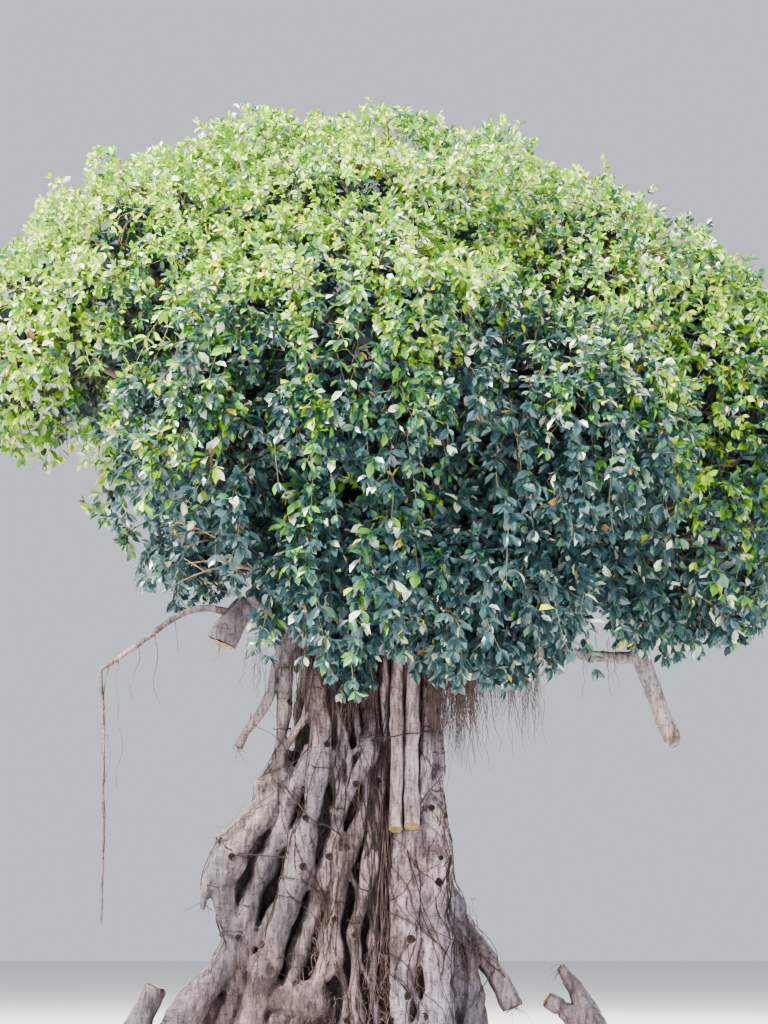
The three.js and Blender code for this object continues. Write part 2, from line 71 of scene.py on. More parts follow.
# The trunk's stems: stations [x, y, z, radius] in millimetres, from the foot upwards. Most follow the
# source's stems, with more stations for the kinks and swellings that show, and tops that run into the wood
# behind them. One of the source's left stems is two here, and some slender front stems, the cross stems, the
# filling stems and the winders are only here.
BURIED = 60
HEAD = np.array([-20, 20, 1850]) * MM
FRONT_STEMS = [
    [[-880, -90, -BURIED, 84], [-790, -98, 105, 74], [-705, -100, 232, 68], [-625, -98, 350, 50],
     [-560, -95, 440, 45], [-545, -90, 580, 46]],
    [[-546, -90, 540, 45], [-580, -98, 640, 49], [-591, -102, 756, 64], [-536, -100, 868, 60],
     [-462, -90, 955, 53], [-412, -76, 1035, 54], [-385, -66, 1115, 55], [-340, -50, 1205, 42]],
    [[-385, -60, 1060, 42], [-362, -72, 1180, 40], [-359, -85, 1259, 29], [-356, -88, 1357, 31],
     [-351, -85, 1505, 33], [-334, -78, 1640, 31], [-240, -10, 1840, 42]],
    [[-650, -20, -BURIED, 66], [-575, -50, 200, 54], [-512, -72, 420, 47], [-490, -76, 600, 47],
     [-452, -74, 717, 42], [-404, -72, 820, 51], [-356, -72, 930, 47], [-330, -78, 1040, 38],
     [-292, -92, 1130, 33], [-266, -104, 1200, 27], [-245, -106, 1260, 21]],
    [[-540, -70, -BURIED, 78], [-475, -98, 205, 60], [-444, -108, 323, 57], [-404, -118, 431, 53],
     [-367, -124, 520, 51], [-335, -128, 599, 49], [-314, -131, 678, 52], [-289, -132, 776, 49],
     [-274, -132, 855, 50], [-258, -130, 934, 40], [-240, -129, 993, 34], [-230, -128, 1062, 37],
     [-217, -128, 1131, 43], [-202, -126, 1210, 42], [-206, -122, 1288, 38], [-217, -118, 1406, 34],
     [-216, -110, 1525, 31], [-180, -92, 1650, 38], [-100, -20, 1860, 46]],
    [[-430, -90, -BURIED, 52], [-372, -100, 175, 42], [-336, -108, 284, 38], [-297, -115, 392, 33],
     [-267, -118, 500, 32], [-238, -120, 589, 33], [-211, -119, 668, 37], [-184, -116, 756, 37],
     [-165, -113, 835, 38], [-141, -110, 914, 27], [-140, -108, 993, 32], [-126, -106, 1072, 25],
     [-141, -100, 1150, 31], [-132, -85, 1260, 27], [-118, -60, 1400, 30], [-110, 20, 1560, 26]],
    [[-335, -110, -BURIED, 46], [-292, -118, 185, 34], [-238, -124, 293, 31], [-186, -128, 377, 36],
     [-151, -130, 441, 42], [-155, -130, 540, 37], [-140, -128, 638, 35], [-120, -125, 737, 31],
     [-91, -121, 835, 35], [-60, -116, 914, 33], [-21, -104, 1022, 25], [0, -88, 1170, 24],
     [8, 20, 1400, 24]],
    [[-128, -104, 953, 20], [-110, -108, 1022, 24], [-81, -112, 1101, 27], [-42, -112, 1170, 28],
     [-9, -104, 1229, 34], [4, -70, 1300, 34], [10, 20, 1440, 24]],
    [[-62, -150, -BURIED, 36], [-52, -148, 224, 28], [-66, -146, 323, 19], [-60, -144, 431, 22],
     [-70, -142, 530, 33], [-44, -138, 609, 27], [-24, -133, 678, 30], [-8, -126, 747, 39],
     [2, -120, 815, 42], [12, -112, 894, 31], [28, -98, 1012, 22], [62, -60, 1240, 27], [70, 20, 1380, 24]],
    [[6, -128, 300, 12], [7, -126, 461, 18], [5, -122, 618, 21], [9, -112, 740, 18], [12, -90, 830, 14]],
    [[135, -160, -BURIED, 54], [117, -156, 200, 34], [128, -148, 330, 44], [148, -132, 560, 70],
     [155, -118, 760, 68], [158, -100, 1050, 58], [132, -75, 1560, 38], [90, -15, 1850, 46]],
    [[300, -140, -BURIED, 80], [264, -138, 200, 68], [270, -132, 340, 62], [243, -118, 600, 78],
     [236, -108, 800, 72], [222, -90, 1100, 46], [205, -70, 1500, 31], [140, -5, 1840, 42]],
    [[410, -70, -BURIED, 60], [372, -95, 165, 34], [350, -98, 274, 30], [331, -98, 392, 27],
     [317, -98, 520, 27], [307, -96, 668, 26], [297, -98, 796, 31], [280, -100, 894, 28],
     [249, -98, 973, 28], [240, -95, 1072, 25], [257, -88, 1150, 32], [259, -80, 1229, 27],
     [252, -68, 1328, 29], [225, -30, 1560, 34], [170, 10, 1830, 38]],
    [[150, -140, 1000, 15], [187, -150, 1040, 17], [200, -146, 1110, 20], [208, -138, 1210, 22],
     [213, -125, 1357, 23], [216, -110, 1505, 23], [205, -80, 1640, 27]],
    [[315, -50, 470, 34], [400, -75, 270, 30], [490, -95, -BURIED, 44]],
    [[318, -60, 700, 14], [350, -85, 638, 19], [354, -95, 540, 22], [380, -100, 441, 21],
     [393, -105, 323, 27], [372, -108, 200, 29], [395, -100, -BURIED, 40]],
    [[385, -105, 345, 20], [431, -112, 284, 17], [412, -115, 185, 19], [440, -108, -BURIED, 30]],
    [[250, -60, 90, 80], [420, -75, 45, 70], [580, -85, 20, 60]],
]
SAWN_PAIR = [
    [[105, -100, 1640, 27], [98, -175, 1320, 25], [92, -200, 925, 25]],
    [[165, -100, 1640, 30], [158, -170, 1320, 29], [158, -206, 938, 30]],
]
SAW_SLANT = 0.40  # how steeply the sawn ends face the front
STUBS = [
    [[42, -50, 1720, 20], [46, -118, 1520, 19], [56, -112, 1377, 17], [62, -100, 1270, 18]],
    [[-330, -60, 1700, 25], [-392, -112, 1540, 19], [-400, -118, 1465, 20], [-432, -120, 1405, 18],
     [-478, -122, 1340, 19], [-507, -124, 1295, 17], [-530, -125, 1250, 21]],
    [[-342, -95, 1240, 13], [-318, -116, 1290, 13], [-290, -123, 1330, 15], [-264, -121, 1368, 16],
     [-256, -116, 1430, 12], [-232, -115, 1510, 13]],
    [[-410, -85, 1020, 28], [-470, -106, 985, 27], [-530, -120, 940, 20], [-606, -130, 885, 22]],
    [[-596, -105, 800, 46], [-638, -120, 735, 31], [-655, -128, 672, 20], [-663, -130, 612, 8]],
    [[330, -30, 580, 36], [430, -65, 450, 45], [480, -82, 372, 39], [555, -100, 235, 44]],
    [[560, -85, 25, 58], [740, -95, 20, 56], [900, -95, -BURIED, 62]],
    [[900, -95, -BURIED, 66], [862, -100, 180, 52], [800, -100, 300, 34], [737, -100, 395, 18]],
    [[860, -98, 60, 50], [780, -108, 200, 36], [688, -118, 268, 31]],
    [[-640, -60, 50, 66], [-800, -90, 15, 54], [-960, -105, -BURIED, 56]],
    [[-985, -105, -BURIED, 58], [-930, -105, 100, 50], [-846, -105, 315, 43]],
]
CORE_STEMS = [
    [[-360, 60, -BURIED, 200], [-270, 60, 500, 118], [-180, 55, 1100, 100], [-110, 30, 1850, 105]],
    [[0, 50, -BURIED, 180], [10, 60, 500, 112], [10, 55, 1100, 96], [0, 30, 1880, 120]],
    [[240, 40, -BURIED, 160], [225, 40, 500, 108], [190, 40, 1100, 88], [90, 25, 1850, 95]],
    [[-270, 10, 1790, 70], [-20, 20, 1850, 135], [200, 15, 1790, 70]],
]
CROSS_STEMS = [  # knobs, and small stems that bridge the others
    [[-380, -66, 1085, 40], [-432, -92, 1100, 33], [-462, -100, 1098, 22]],
    [[-556, -100, 592, 18], [-590, -118, 574, 16], [-608, -124, 568, 14]],
    [[-186, -108, 1430, 12], [-168, -122, 1308, 13], [-163, -120, 1225, 11], [-142, -104, 1150, 10]],
    [[-150, -70, 1520, 16], [-140, -92, 1406, 15], [-104, -98, 1288, 17], [-88, -104, 1190, 16],
     [-96, -106, 1110, 12]],
    [[-78, -60, 1520, 15], [-62, -84, 1376, 14], [-52, -92, 1278, 14], [-44, -98, 1190, 16]],
    [[-14, -50, 1560, 18], [-4, -80, 1400, 17], [2, -88, 1290, 24]],
    [[-20, -100, 1270, 16], [-66, -108, 1236, 13], [-104, -112, 1196, 11]],
    [[-345, -78, 940, 20], [-318, -104, 900, 17], [-285, -126, 880, 20]],
    [[-330, -60, 700, 22], [-372, -78, 640, 20], [-420, -84, 560, 22], [-452, -86, 470, 20]],
    [[-228, -100, 700, 16], [-250, -104, 600, 18], [-300, -106, 480, 18], [-322, -100, 380, 18]],
    [[-196, -118, 560, 12], [-205, -124, 480, 14], [-188, -128, 420, 18]],
    [[-150, -112, 420, 20], [-108, -122, 330, 16], [-98, -130, 230, 16], [-130, -132, 100, 22]],
    [[-60, -138, 430, 12], [-20, -130, 350, 12], [14, -122, 250, 14], [30, -124, 60, 20]],
    [[-100, -116, 800, 10], [-62, -128, 700, 11], [-40, -134, 640, 12]],
    [[150, -150, 345, 12], [176, -162, 262, 14], [196, -166, 205, 17], [150, -176, 150, 15],
     [120, -176, 90, 14]],
    [[300, -104, 870, 12], [258, -150, 800, 13], [208, -176, 700, 10], [180, -186, 610, 8]],
    [[252, -112, 1140, 20], [276, -116, 1152, 19], [288, -112, 1150, 13]],
    [[98, -95, 960, 12], [90, -140, 860, 14], [84, -160, 700, 13], [86, -166, 560, 12], [80, -164, 400, 14],
     [90, -160, 200, 18]],
]
FILLING_STEMS = [  # deep between the front stems, where little daylight comes through
    [[-165, 30, -BURIED, 95], [-150, 40, 420, 72], [-105, 40, 900, 66], [-70, 30, 1300, 60]],
    [[-650, 20, -BURIED, 84], [-590, 15, 210, 74], [-530, 10, 450, 58], [-505, 0, 700, 54],
     [-468, -5, 900, 58], [-390, -20, 1100, 46]],
    [[-480, 60, -BURIED, 84], [-435, 60, 420, 70], [-405, 50, 700, 60], [-370, 40, 1000, 50],
     [-330, 30, 1250, 44]],
]
BACK_STEM_COUNT = 9
BACK_FOOT = {"centre": (-120, 60), "half": (520, 290)}
BACK_WAIST = {"centre": (-70, 60), "half": (300, 150), "height": 700}
BACK_HEAD = {"centre": (-40, 20), "half": (180, 90), "height": 1830}
BACK_RADII = (66, 42, 38)
BACK_SWELL = (0.85, 1.15)
BACK_TWIST = 0.25
BACK_SEED = 700

# Low limbs, as in the source. The thick ones are fused with the trunk, the thin ones stay slender tubes.
RIGHT_REACH = [[190, -20, 1600, 40], [640, -30, 1640, 27], [1058, -40, 1612, 25]]
RIGHT_DROP = [[1068, -40, 1655, 38], [1105, -45, 1530, 36], [1150, -45, 1400, 34], [1196, -50, 1276, 33],
              [1204, -50, 1256, 20]]
LEFT_STUB = [[-250, 0, 1800, 62], [-470, -30, 1850, 52], [-560, -40, 1760, 58], [-600, -45, 1672, 62]]
LEFT_REACH = [[-560, -40, 1800, 16], [-700, -45, 1810, 14], [-1080, -50, 1566, 9]]
LEFT_DROP = [[-1084, -50, 1566, 9], [-1068, -50, 1180, 7], [-1066, -50, 560, 4]]

# Masses of foliage, as in the source: centre and reach in millimetres, and the first twigs' count
MASSES = [
    ("crown_top", (-60, 20, 3100), (900, 820, 830), 12),
    ("crown_top_left", (-830, -30, 3030), (620, 680, 720), 10),
    ("crown_top_right", (830, 40, 2950), (640, 700, 690), 9),
    ("crown_left", (-1250, 0, 2880), (520, 600, 510), 7),
    ("crown_right", (1370, 40, 2720), (560, 620, 670), 7),
    ("crown_right_low", (1180, -80, 2070), (590, 540, 480), 8),
    ("crown_front", (-80, -640, 2680), (780, 540, 640), 11),
    ("crown_front_left", (-640, -560, 2330), (480, 460, 480), 7),
    ("crown_front_right", (700, -560, 2420), (560, 500, 560), 9),
    ("skirt_front_left", (-560, -480, 1930), (350, 340, 400), 8),
    ("skirt_front", (-50, -620, 1960), (400, 350, 420), 9),
    ("skirt_front_right", (430, -560, 1880), (430, 380, 470), 8),
    ("crown_back", (-40, 700, 2700), (800, 560, 660), 11),
    ("crown_back_left", (-720, 600, 2430), (540, 500, 560), 8),
    ("crown_back_right", (740, 620, 2380), (600, 500, 580), 8),
    ("skirt_back", (-20, 640, 1970), (520, 380, 430), 8),
]
DAYLIGHT = [  # places where the crown is open: centre and reach in metres, and the share of sprays left there
    ((-1.14, -0.50, 2.16), (0.34, 0.80, 0.42), 0.04),
    ((-0.86, -0.65, 1.94), (0.28, 0.60, 0.28), 0.16),
    ((-0.60, -0.48, 1.74), (0.25, 0.60, 0.28), 0.02),
    ((-1.14, 0.60, 2.12), (0.36, 0.60, 0.42), 0.04),
    ((1.28, -0.20, 1.93), (0.34, 0.55, 0.24), 0.40),
]
MASS_SEED = 1000
BOUGH_RADII = (46 * MM, 20 * MM)
BOUGH_START = 0.04
BOUGH_RISE = 0.16
BOUGH_END_SHARE = 0.84
STEM_TIP_RADIUS = 18 * MM
TWIG_RADIUS = 15 * MM
TWIG_TIP_SHARE = (0.78, 0.85)
TWIG_CREST = (0.55, 45 * MM)
INNER_LIMIT = -0.3

# Finer twigs: each level follows the source's spiral with more places, counted for a square metre of a
# mass's outer surface, and grows from the level before it
TREE_SEED = 11
CROWN_HEART = np.array([0.0, 0.0, 2.3])
CROWN_REACH = np.array([1.8, 1.15, 1.55])
BRANCHLETS = {"density": 28, "limit": -0.6, "shares": (0.70, 0.90), "hang": 0.3, "rings": 8}
BRANCHLET_RADII = (0.0052, 0.0024)
OUTER_SPRAYS = {"density": 94, "limit": -0.55, "shares": (0.78, 0.99), "hang": 0.75, "rings": 5}
UNDER_SPRAYS = {"density": 22, "limit": -0.6, "shares": (0.66, 0.84), "hang": 0.6, "rings": 5}
HEART_SPRAYS = {"density": 42, "limit": -0.9, "shares": (0.42, 0.74), "hang": 0.4, "rings": 3}
LEAST_CHANCE = 0.3  # a twig's chance where it faces into the crown
CLUMPS = {"scale": 4.2, "contrast": 0.9, "share": 0.66, "whim": 0.34}  # how unevenly twigs reach outwards
TIP_CLEARANCE = 0.03  # metres from a twig's tip to the trunk or a low limb
TWIG_LENGTHS = (0.05, 0.7)  # metres
# How a twig runs, in metres or as shares of its length: how far behind and above its tip it looks for a
# start, how it bows out and up, more so where it hangs, and how far chance moves its start and its bow
TWIG_WAY = {"back": 0.15, "less_back": 0.07, "above": 0.15, "out": 0.14, "up": 0.08, "more_up": 0.22}
TWIG_WHIM = {"start": 0.06, "bow": 0.07, "hang": (0.3, 1.3)}
VALLEY = (0.20, 0.16)  # how much farther sprays reach near a border with the next mass, and how near that is
OVERLAP = 0.05  # how far the outer sprays reach over a border, in metres
# The crown's even top: its height, its fall to the left, right and in depth, and how firmly it holds tips
DOME = (3.86, 0.285, 0.34, 0.16)
DOME_HOLD = 0.85
# Dark hollows in the front: how close together, how deep, and the share of sprays gone
HOLLOW = (3.4, 0.16, 0.72)
# Upper sprays that stand out of the crown: their share, how far, and their height and place, in metres
SPRIGS = {"share": 0.07, "reach": 0.06, "from": 2.4, "over": 0.4, "within": (1.55, 0.95)}
SPRAY_RADII = (0.0023, 0.0009)
STRANDS_PER_MASS = {"crown_front": 54, "crown_front_left": 34, "crown_front_right": 32, "skirt_front": 20,
                    "skirt_front_left": 14, "skirt_front_right": 16, "crown_right_low": 18}
LOWEST_STRAND = 1.56  # metres above the ground
LEFTMOST_STRAND = -0.94  # metres from the middle
STRAND_DROPS = (0.14, 0.42)  # metres
# How a strand runs, in radians, in metres or as a share: which way it leaves its mass and how far out its
# head is, where it starts behind and above the head, how it arches, bends and ends outwards, and how much of
# its drop it sweeps aside, left of an x and elsewhere
STRAND_WAY = {
    "turn": 1.15, "lift": (-0.5, 0.75), "head": (0.9, 0.97), "back": 0.12, "above": 0.05, "arch": 0.07,
    "bend": 0.05, "bend_up": 0.02, "out": 0.06, "split": -0.35, "sweeps": (-0.32, 0.10),
}
STRAND_WHIM = {"end": 0.04, "sway": 0.012}
FRONT_ROOM = 0.07  # metres that strands keep from the front of the solids' box
# The trunk's middle, where strands hang lower: its x and half its width, the height below which a strand's
# end is moved down, by how much, and how far below the others' limit it may end
BEFORE_TRUNK = {"x": -0.10, "half": 0.11, "below": 1.72, "longer": 0.12, "lowest": 0.14}
VEIL = {"seed": 97, "count": 26, "low": (-0.16, -0.19, 1.47), "high": (0.01, -0.11, 1.66), "head": 1.80}
SHOOT_SPACING = 0.032
SHOOT_RADIUS = 0.0009
SHOOTS = {"share": 0.86, "jitter": 0.35, "lowest": 0.12, "tip": 0.018, "shortest": 0.016, "longer": 0.036}
SHOOT_AIM = {"along": 0.75, "aside": 0.85, "out": 0.35, "droop": 0.2}
# A leaf's direction, for the leaf at a shoot's end and for the others, and how all lean out and down
LEAF_AIM = {
    "along": (0.9, 0.42), "aside": (0.25, 0.85), "out": 0.22, "down": 0.05, "droop": 0.42, "whim": 0.24,
}
LEAF_FACING = {"out": 0.50, "up": 0.75, "whim": 0.58}
LEAF_SPREAD = (0.70, 1.18)  # a leaf's length beside the usual one
LEAF_WIDTHS = (0.44, 0.60)  # as shares of its length
HEART_LEAF_WIDTH = 0.56
YOUNG = {"reach": 0.09, "by_place": 0.6, "at_end": 0.4, "smaller": 0.36}  # young leaves near a spray's tip
LEAF_LENGTH = 0.054
UNDER_LEAF_LENGTH = 0.062
HEART_LEAF_LENGTH = 0.120
SIZE_BY_HEIGHT = ((2.1, 3.2), (1.14, 0.78))  # leaves are larger low in the shade than high in the sun


def seeded(seed):
    """The source's random numbers from 0 to 1, in the same order."""
    mask = 0xFFFFFFFF
    state = seed & mask

    def draw():
        nonlocal state
        state = (state + 0x6D2B79F5) & mask
        mixed = ((state ^ (state >> 15)) * (state | 1)) & mask
        turned = ((mixed ^ (mixed >> 7)) * (mixed | 61)) & mask
        mixed = ((mixed + turned) & mask) ^ mixed
        return ((mixed ^ (mixed >> 14)) & mask) / 2**32

    return draw


def normalized(vectors):
    """Unit vectors along the last axis."""
    return vectors / np.maximum(np.linalg.norm(vectors, axis=-1, keepdims=True), 1e-9)


def rise(values, start, width):
    """0 up to a start, then evenly up to 1 over a width."""
    return np.clip((values - start) / width, 0, 1)


def noise_at(points, scale, shift=0.0):
    """Smooth noise from about -1 to 1 at many points, by a scale along each axis."""
    places = (np.asarray(points) * scale + shift).tolist()
    return np.array([noise.noise(Vector(place)) for place in places])


def mesh_object(name, vertices, faces, material, smooth=False):
    """A mesh object from arrays of corners and of equal-sided faces."""
    vertices = np.ascontiguousarray(vertices, dtype=np.float32).reshape(-1, 3)
    faces = np.ascontiguousarray(faces, dtype=np.int32)
    count, sides = faces.shape
    mesh = bpy.data.meshes.new(name)
    mesh.vertices.add(len(vertices))
    mesh.vertices.foreach_set("co", vertices.ravel())
    mesh.loops.add(count * sides)
    mesh.loops.foreach_set("vertex_index", faces.ravel())
    mesh.polygons.add(count)
    mesh.polygons.foreach_set("loop_start", np.arange(count, dtype=np.int32) * sides)
    mesh.polygons.foreach_set("use_smooth", np.full(count, smooth))
    mesh.update(calc_edges=True)
    mesh.materials.append(material)
    return linked(name, mesh)


def linked(name, mesh):
    """An object for a mesh, in the scene."""
    piece = bpy.data.objects.new(name, mesh)
    bpy.context.scene.collection.objects.link(piece)
    return piece


def finished(piece, slot, *nodes):
    """Puts a piece on the tree's one body and hides the solids that it stands for; its finish, the slot, is
    not used.
    """
    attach(piece, "root")
    if nodes:
        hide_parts(*nodes)
    return piece


def bark_piece(name, shape, material, *nodes):
    """A smooth piece of wood from its corners and faces."""
    return finished(mesh_object(name, *shape, material, smooth=True), "bark", *nodes)


# Curves and tubes


def limb_line(stations, step):
    """A limb's smooth centre line and radii in metres, from its stations, by a centripetal spline."""
    spots = np.array(stations, dtype=float) * MM
    ends = np.vstack([2 * spots[0] - spots[1], spots, 2 * spots[-1] - spots[-2]])
    pieces = []
    for i in range(1, len(ends) - 2):
        p = ends[i - 1:i + 3]
        gaps = np.linalg.norm(np.diff(p[:, :3], axis=0), axis=1) ** 0.5
        t0, t1, t2, t3 = np.concatenate([[0], np.cumsum(np.maximum(gaps, 1e-6))])
        count = max(2, round(np.linalg.norm(p[2, :3] - p[1, :3]) / step))
        t = np.linspace(t1, t2, count, endpoint=False)[:, None]
        a1 = (t1 - t) / (t1 - t0) * p[0] + (t - t0) / (t1 - t0) * p[1]
        a2 = (t2 - t) / (t2 - t1) * p[1] + (t - t1) / (t2 - t1) * p[2]
        a3 = (t3 - t) / (t3 - t2) * p[2] + (t - t2) / (t3 - t2) * p[3]
        b1 = (t2 - t) / (t2 - t0) * a1 + (t - t0) / (t2 - t0) * a2
        b2 = (t3 - t) / (t3 - t1) * a2 + (t - t1) / (t3 - t1) * a3
        pieces.append((t2 - t) / (t2 - t1) * b1 + (t - t1) / (t2 - t1) * b2)
    line = np.vstack(pieces + [spots[-1:]])
    return line[:, :3], line[:, 3]


def across_of(paths):
    """Two unit vectors across each ring of many paths (count, rings, 3)."""
    tangents = normalized(np.gradient(paths, axis=1))
    across = np.cross(tangents, np.where(np.abs(tangents[..., :1]) > 0.8, [0.0, 1.0, 0.0], [1.0, 0.0, 0.0]))
    across = normalized(across)
    return across, np.cross(tangents, across)


def ring_faces(rings, sides):
    """Four-sided faces between rings of corners that follow one another."""
    near = np.arange(sides)
    far = (near + 1) % sides
    base = np.arange(rings - 1)[:, None] * sides
    above = base + sides
    return np.stack([base + near, base + far, above + far, above + near], axis=-1).reshape(-1, 4)


def tubes(paths, radii, sides):
    """Open tubes along many paths: corners and four-sided faces."""
    count, rings, _ = paths.shape
    across, up = across_of(paths)
    turn = np.arange(sides) * 2 * math.pi / sides
    spread = across[:, :, None] * np.cos(turn)[:, None] + up[:, :, None] * np.sin(turn)[:, None]
    corners = paths[:, :, None] + spread * radii[:, :, None, None]
    faces = ring_faces(rings, sides)[None] + (np.arange(count) * rings * sides)[:, None, None]
    return corners.reshape(-1, 3), faces.reshape(-1, 4)


def tapering(paths, radii):
    """Radii that fall evenly from the first to the last ring of each path."""
    return np.repeat(np.linspace(*radii, paths.shape[1])[None], len(paths), axis=0)


def joined(parts):
    """Corners and faces of several parts as one."""
    corners = []
    faces = []
    count = 0
    for some, sides in parts:
        corners.append(some)
        faces.append(sides + count)
        count += len(some)
    return np.vstack(corners), np.vstack(faces)


def bezier(start, control, end, rings):
    """Quadratic curves through many starts and ends, each of so many rings."""
    t = np.linspace(0, 1, rings)[None, :, None]
    start, control, end = start[:, None], control[:, None], end[:, None]
    return (1 - t) ** 2 * start + 2 * (1 - t) * t * control + t**2 * end


def wandering(line, scale, reach):
    """A line that smooth noise moves a little."""
    return line + np.array([noise.noise_vector(Vector(spot * scale)) for spot in line]) * reach


# Trunk

VOXEL = 0.006
TRUNK_TRIANGLES = 140000
STEM_STEP = 0.02  # metres from ring to ring of a stem
STEM_SIDES = 22
EASED_END = 0.12  # metres at each end of a stem over which its wandering dies away
DRIFT = {"pace": 3.4, "share": 0.16, "least": 0.003}  # slow wandering, as a share of the radius and in metres
JOG = {"pace": 9.5, "share": 0.11}  # quick wandering
BURL = {"pace": 8.0, "from": 0.10, "growth": 0.60}
PINCH = {"pace": 7.0, "from": 0.15, "growth": -0.35}
TWIST = 0.9  # a stem's twist in radians a metre
WAVE = {"round": 1.3, "along": 5.0, "shift": 7.1, "depth": 0.17}
FLUTE = {"round": 3.1, "along": 1.6, "shift": 3.7, "depth": 0.16}
RELIEF = [  # the bark's noise: its scale, its shift, and its height in metres
    (13, 0.0, 0.0040),
    ((30, 30, 24), 11, 0.0030),
    ((38, 38, 7), 7, 0.0030),
    ((10, 10, 72), 5, 0.0011),
]
FISSURES = {"scale": (44, 44, 7), "shift": 3, "width": 0.08, "depth": 0.0050}
SCAR_RIM = {"height": 0.30, "place": 1.1, "width": 0.12}  # as shares of the scar's radius
SCAR_PIT = {"depth": 0.45, "width": 0.25}
KNOTS = {"seed": 31, "count": 46, "radius": (0.009, 0.017), "heights": (0.1, 1.6), "reach": 1.6}
FRONT_REACH = 1.5  # metres before the tree where a ray at the front starts
TRUNK_MIDDLE = -0.05  # its x in metres
FRONT_KNOTS = [  # x, z and radius of the old scars that face the front, in millimetres
    (-330, 1430, 13), (-270, 780, 15), (-166, 820, 14), (-96, 855, 12), (262, 720, 15), (152, 500, 18),
    (-548, 818, 15), (-424, 480, 14), (-524, 505, 13), (-68, 516, 13), (-260, 970, 12), (-180, 1260, 12),
    (236, 1010, 12), (-300, 330, 13), (205, 300, 12),
]


def back_stem(turn, seed):
    """A root stem on the flank or back, by its turn round the trunk."""
    random = seeded(seed)
    swell = BACK_SWELL[0] + (BACK_SWELL[1] - BACK_SWELL[0]) * random()
    twist = BACK_TWIST * (random() - 0.5)

    def on_ellipse(ring, angle):
        return [ring["centre"][0] + ring["half"][0] * math.cos(angle),
                ring["centre"][1] + ring["half"][1] * math.sin(angle)]

    return [
        [*on_ellipse(BACK_FOOT, turn), -BURIED, BACK_RADII[0] * swell],
        [*on_ellipse(BACK_WAIST, turn + twist), BACK_WAIST["height"], BACK_RADII[1] * swell],
        [*on_ellipse(BACK_HEAD, turn), BACK_HEAD["height"], BACK_RADII[2]],
    ]


BACK_STEMS = [
    back_stem(math.pi * (i + 0.3) / (BACK_STEM_COUNT - 0.4), BACK_SEED + i) for i in range(BACK_STEM_COUNT)
]
WINDERS = {"seed": 90, "count": 13, "heights": (-BURIED, 200, 460, 720, 980, 1240, 1500), "radii": (15, 27)}


def winding_stem(seed):
    """A slender root that winds over the stems of the flanks and back, by its seed."""
    random = seeded(seed)
    turn = math.pi * (0.06 + 0.88 * random())
    lean = (0.07 + 0.14 * random()) * (1 if random() < 0.5 else -1)
    low, high = WINDERS["radii"]
    radius = low + (high - low) * random()
    stations = []
    for height in WINDERS["heights"]:
        line, radii = limb_line(back_stem(turn, BACK_SEED), 0.03)
        at = int(np.argmin(np.abs(line[:, 2] - height * MM)))
        spot = line[at] + np.array([math.cos(turn), math.sin(turn), 0]) * radii[at] * 0.85
        stations.append([*(spot / MM), radius * (1 - 0.25 * height / 1500)])
        turn += lean * (0.6 + 0.8 * random())
    return stations


def living_line(stations, seed):
    """A limb's centre line that wanders a little, and radii that swell at its kinks."""
    line, radii = limb_line(stations, STEM_STEP)
    along = np.concatenate([[0], np.cumsum(np.linalg.norm(np.diff(line, axis=0), axis=1))])
    ends = np.clip(np.minimum(along, along[-1] - along) / EASED_END, 0, 1)
    for i, run in enumerate(along):
        drift = noise.noise_vector(Vector((run * DRIFT["pace"] + seed * 5.3, seed * 1.7, 0.5)))
        jog = noise.noise_vector(Vector((run * JOG["pace"] + seed * 2.9, seed * 4.1, 8.5)))
        slow = np.array(drift) * (DRIFT["share"] * radii[i] + DRIFT["least"])
        line[i] += (slow + np.array(jog) * JOG["share"] * radii[i]) * ends[i]
        burl = max(0.0, noise.noise(Vector((run * BURL["pace"], seed * 3.1, 4.2))) - BURL["from"])
        pinch = max(0.0, noise.noise(Vector((run * PINCH["pace"], seed * 2.3, 9.1))) - PINCH["from"])
        radii[i] *= 1 + (BURL["growth"] * burl + PINCH["growth"] * pinch) * ends[i]
    return line, radii, along


def girth_noise(kind, cosine, sine, run, seed):
    """How much a stem's girth strays at a turn and a length, by one kind of noise."""
    place = Vector((cosine * kind["round"], sine * kind["round"], run * kind["along"] + seed * kind["shift"]))
    return kind["depth"] * noise.noise(place)


def fluted_tube(stations, seed):
    """A closed stem whose girth swells, pinches and flutes along its length: corners and faces."""
    line, radii, along = living_line(stations, seed)
    across, up = across_of(line[None])
    twist = TWIST if seed % 2 else -TWIST
    rows = []
    for i, (spot, radius) in enumerate(zip(line, radii)):
        for k in range(STEM_SIDES):
            turn = 2 * math.pi * k / STEM_SIDES + twist * along[i]
            cosine, sine = math.cos(turn), math.sin(turn)
            girth = 1 + girth_noise(WAVE, cosine, sine, along[i], seed)
            girth = radius * (girth + girth_noise(FLUTE, cosine, sine, along[i], seed))
            rows.append(spot + (across[0, i] * cosine + up[0, i] * sine) * girth)
    faces = [tuple(face) for face in ring_faces(len(line), STEM_SIDES).tolist()]
    faces.append(tuple(reversed(range(STEM_SIDES))))
    faces.append(tuple(range((len(line) - 1) * STEM_SIDES, len(line) * STEM_SIDES)))
    return rows, faces


def applied(piece):
    """Makes a piece's modifiers part of its mesh."""
    evaluated = piece.evaluated_get(bpy.context.evaluated_depsgraph_get())
    mesh = bpy.data.meshes.new_from_object(evaluated)
    piece.modifiers.clear()
    piece.data = mesh
    return mesh


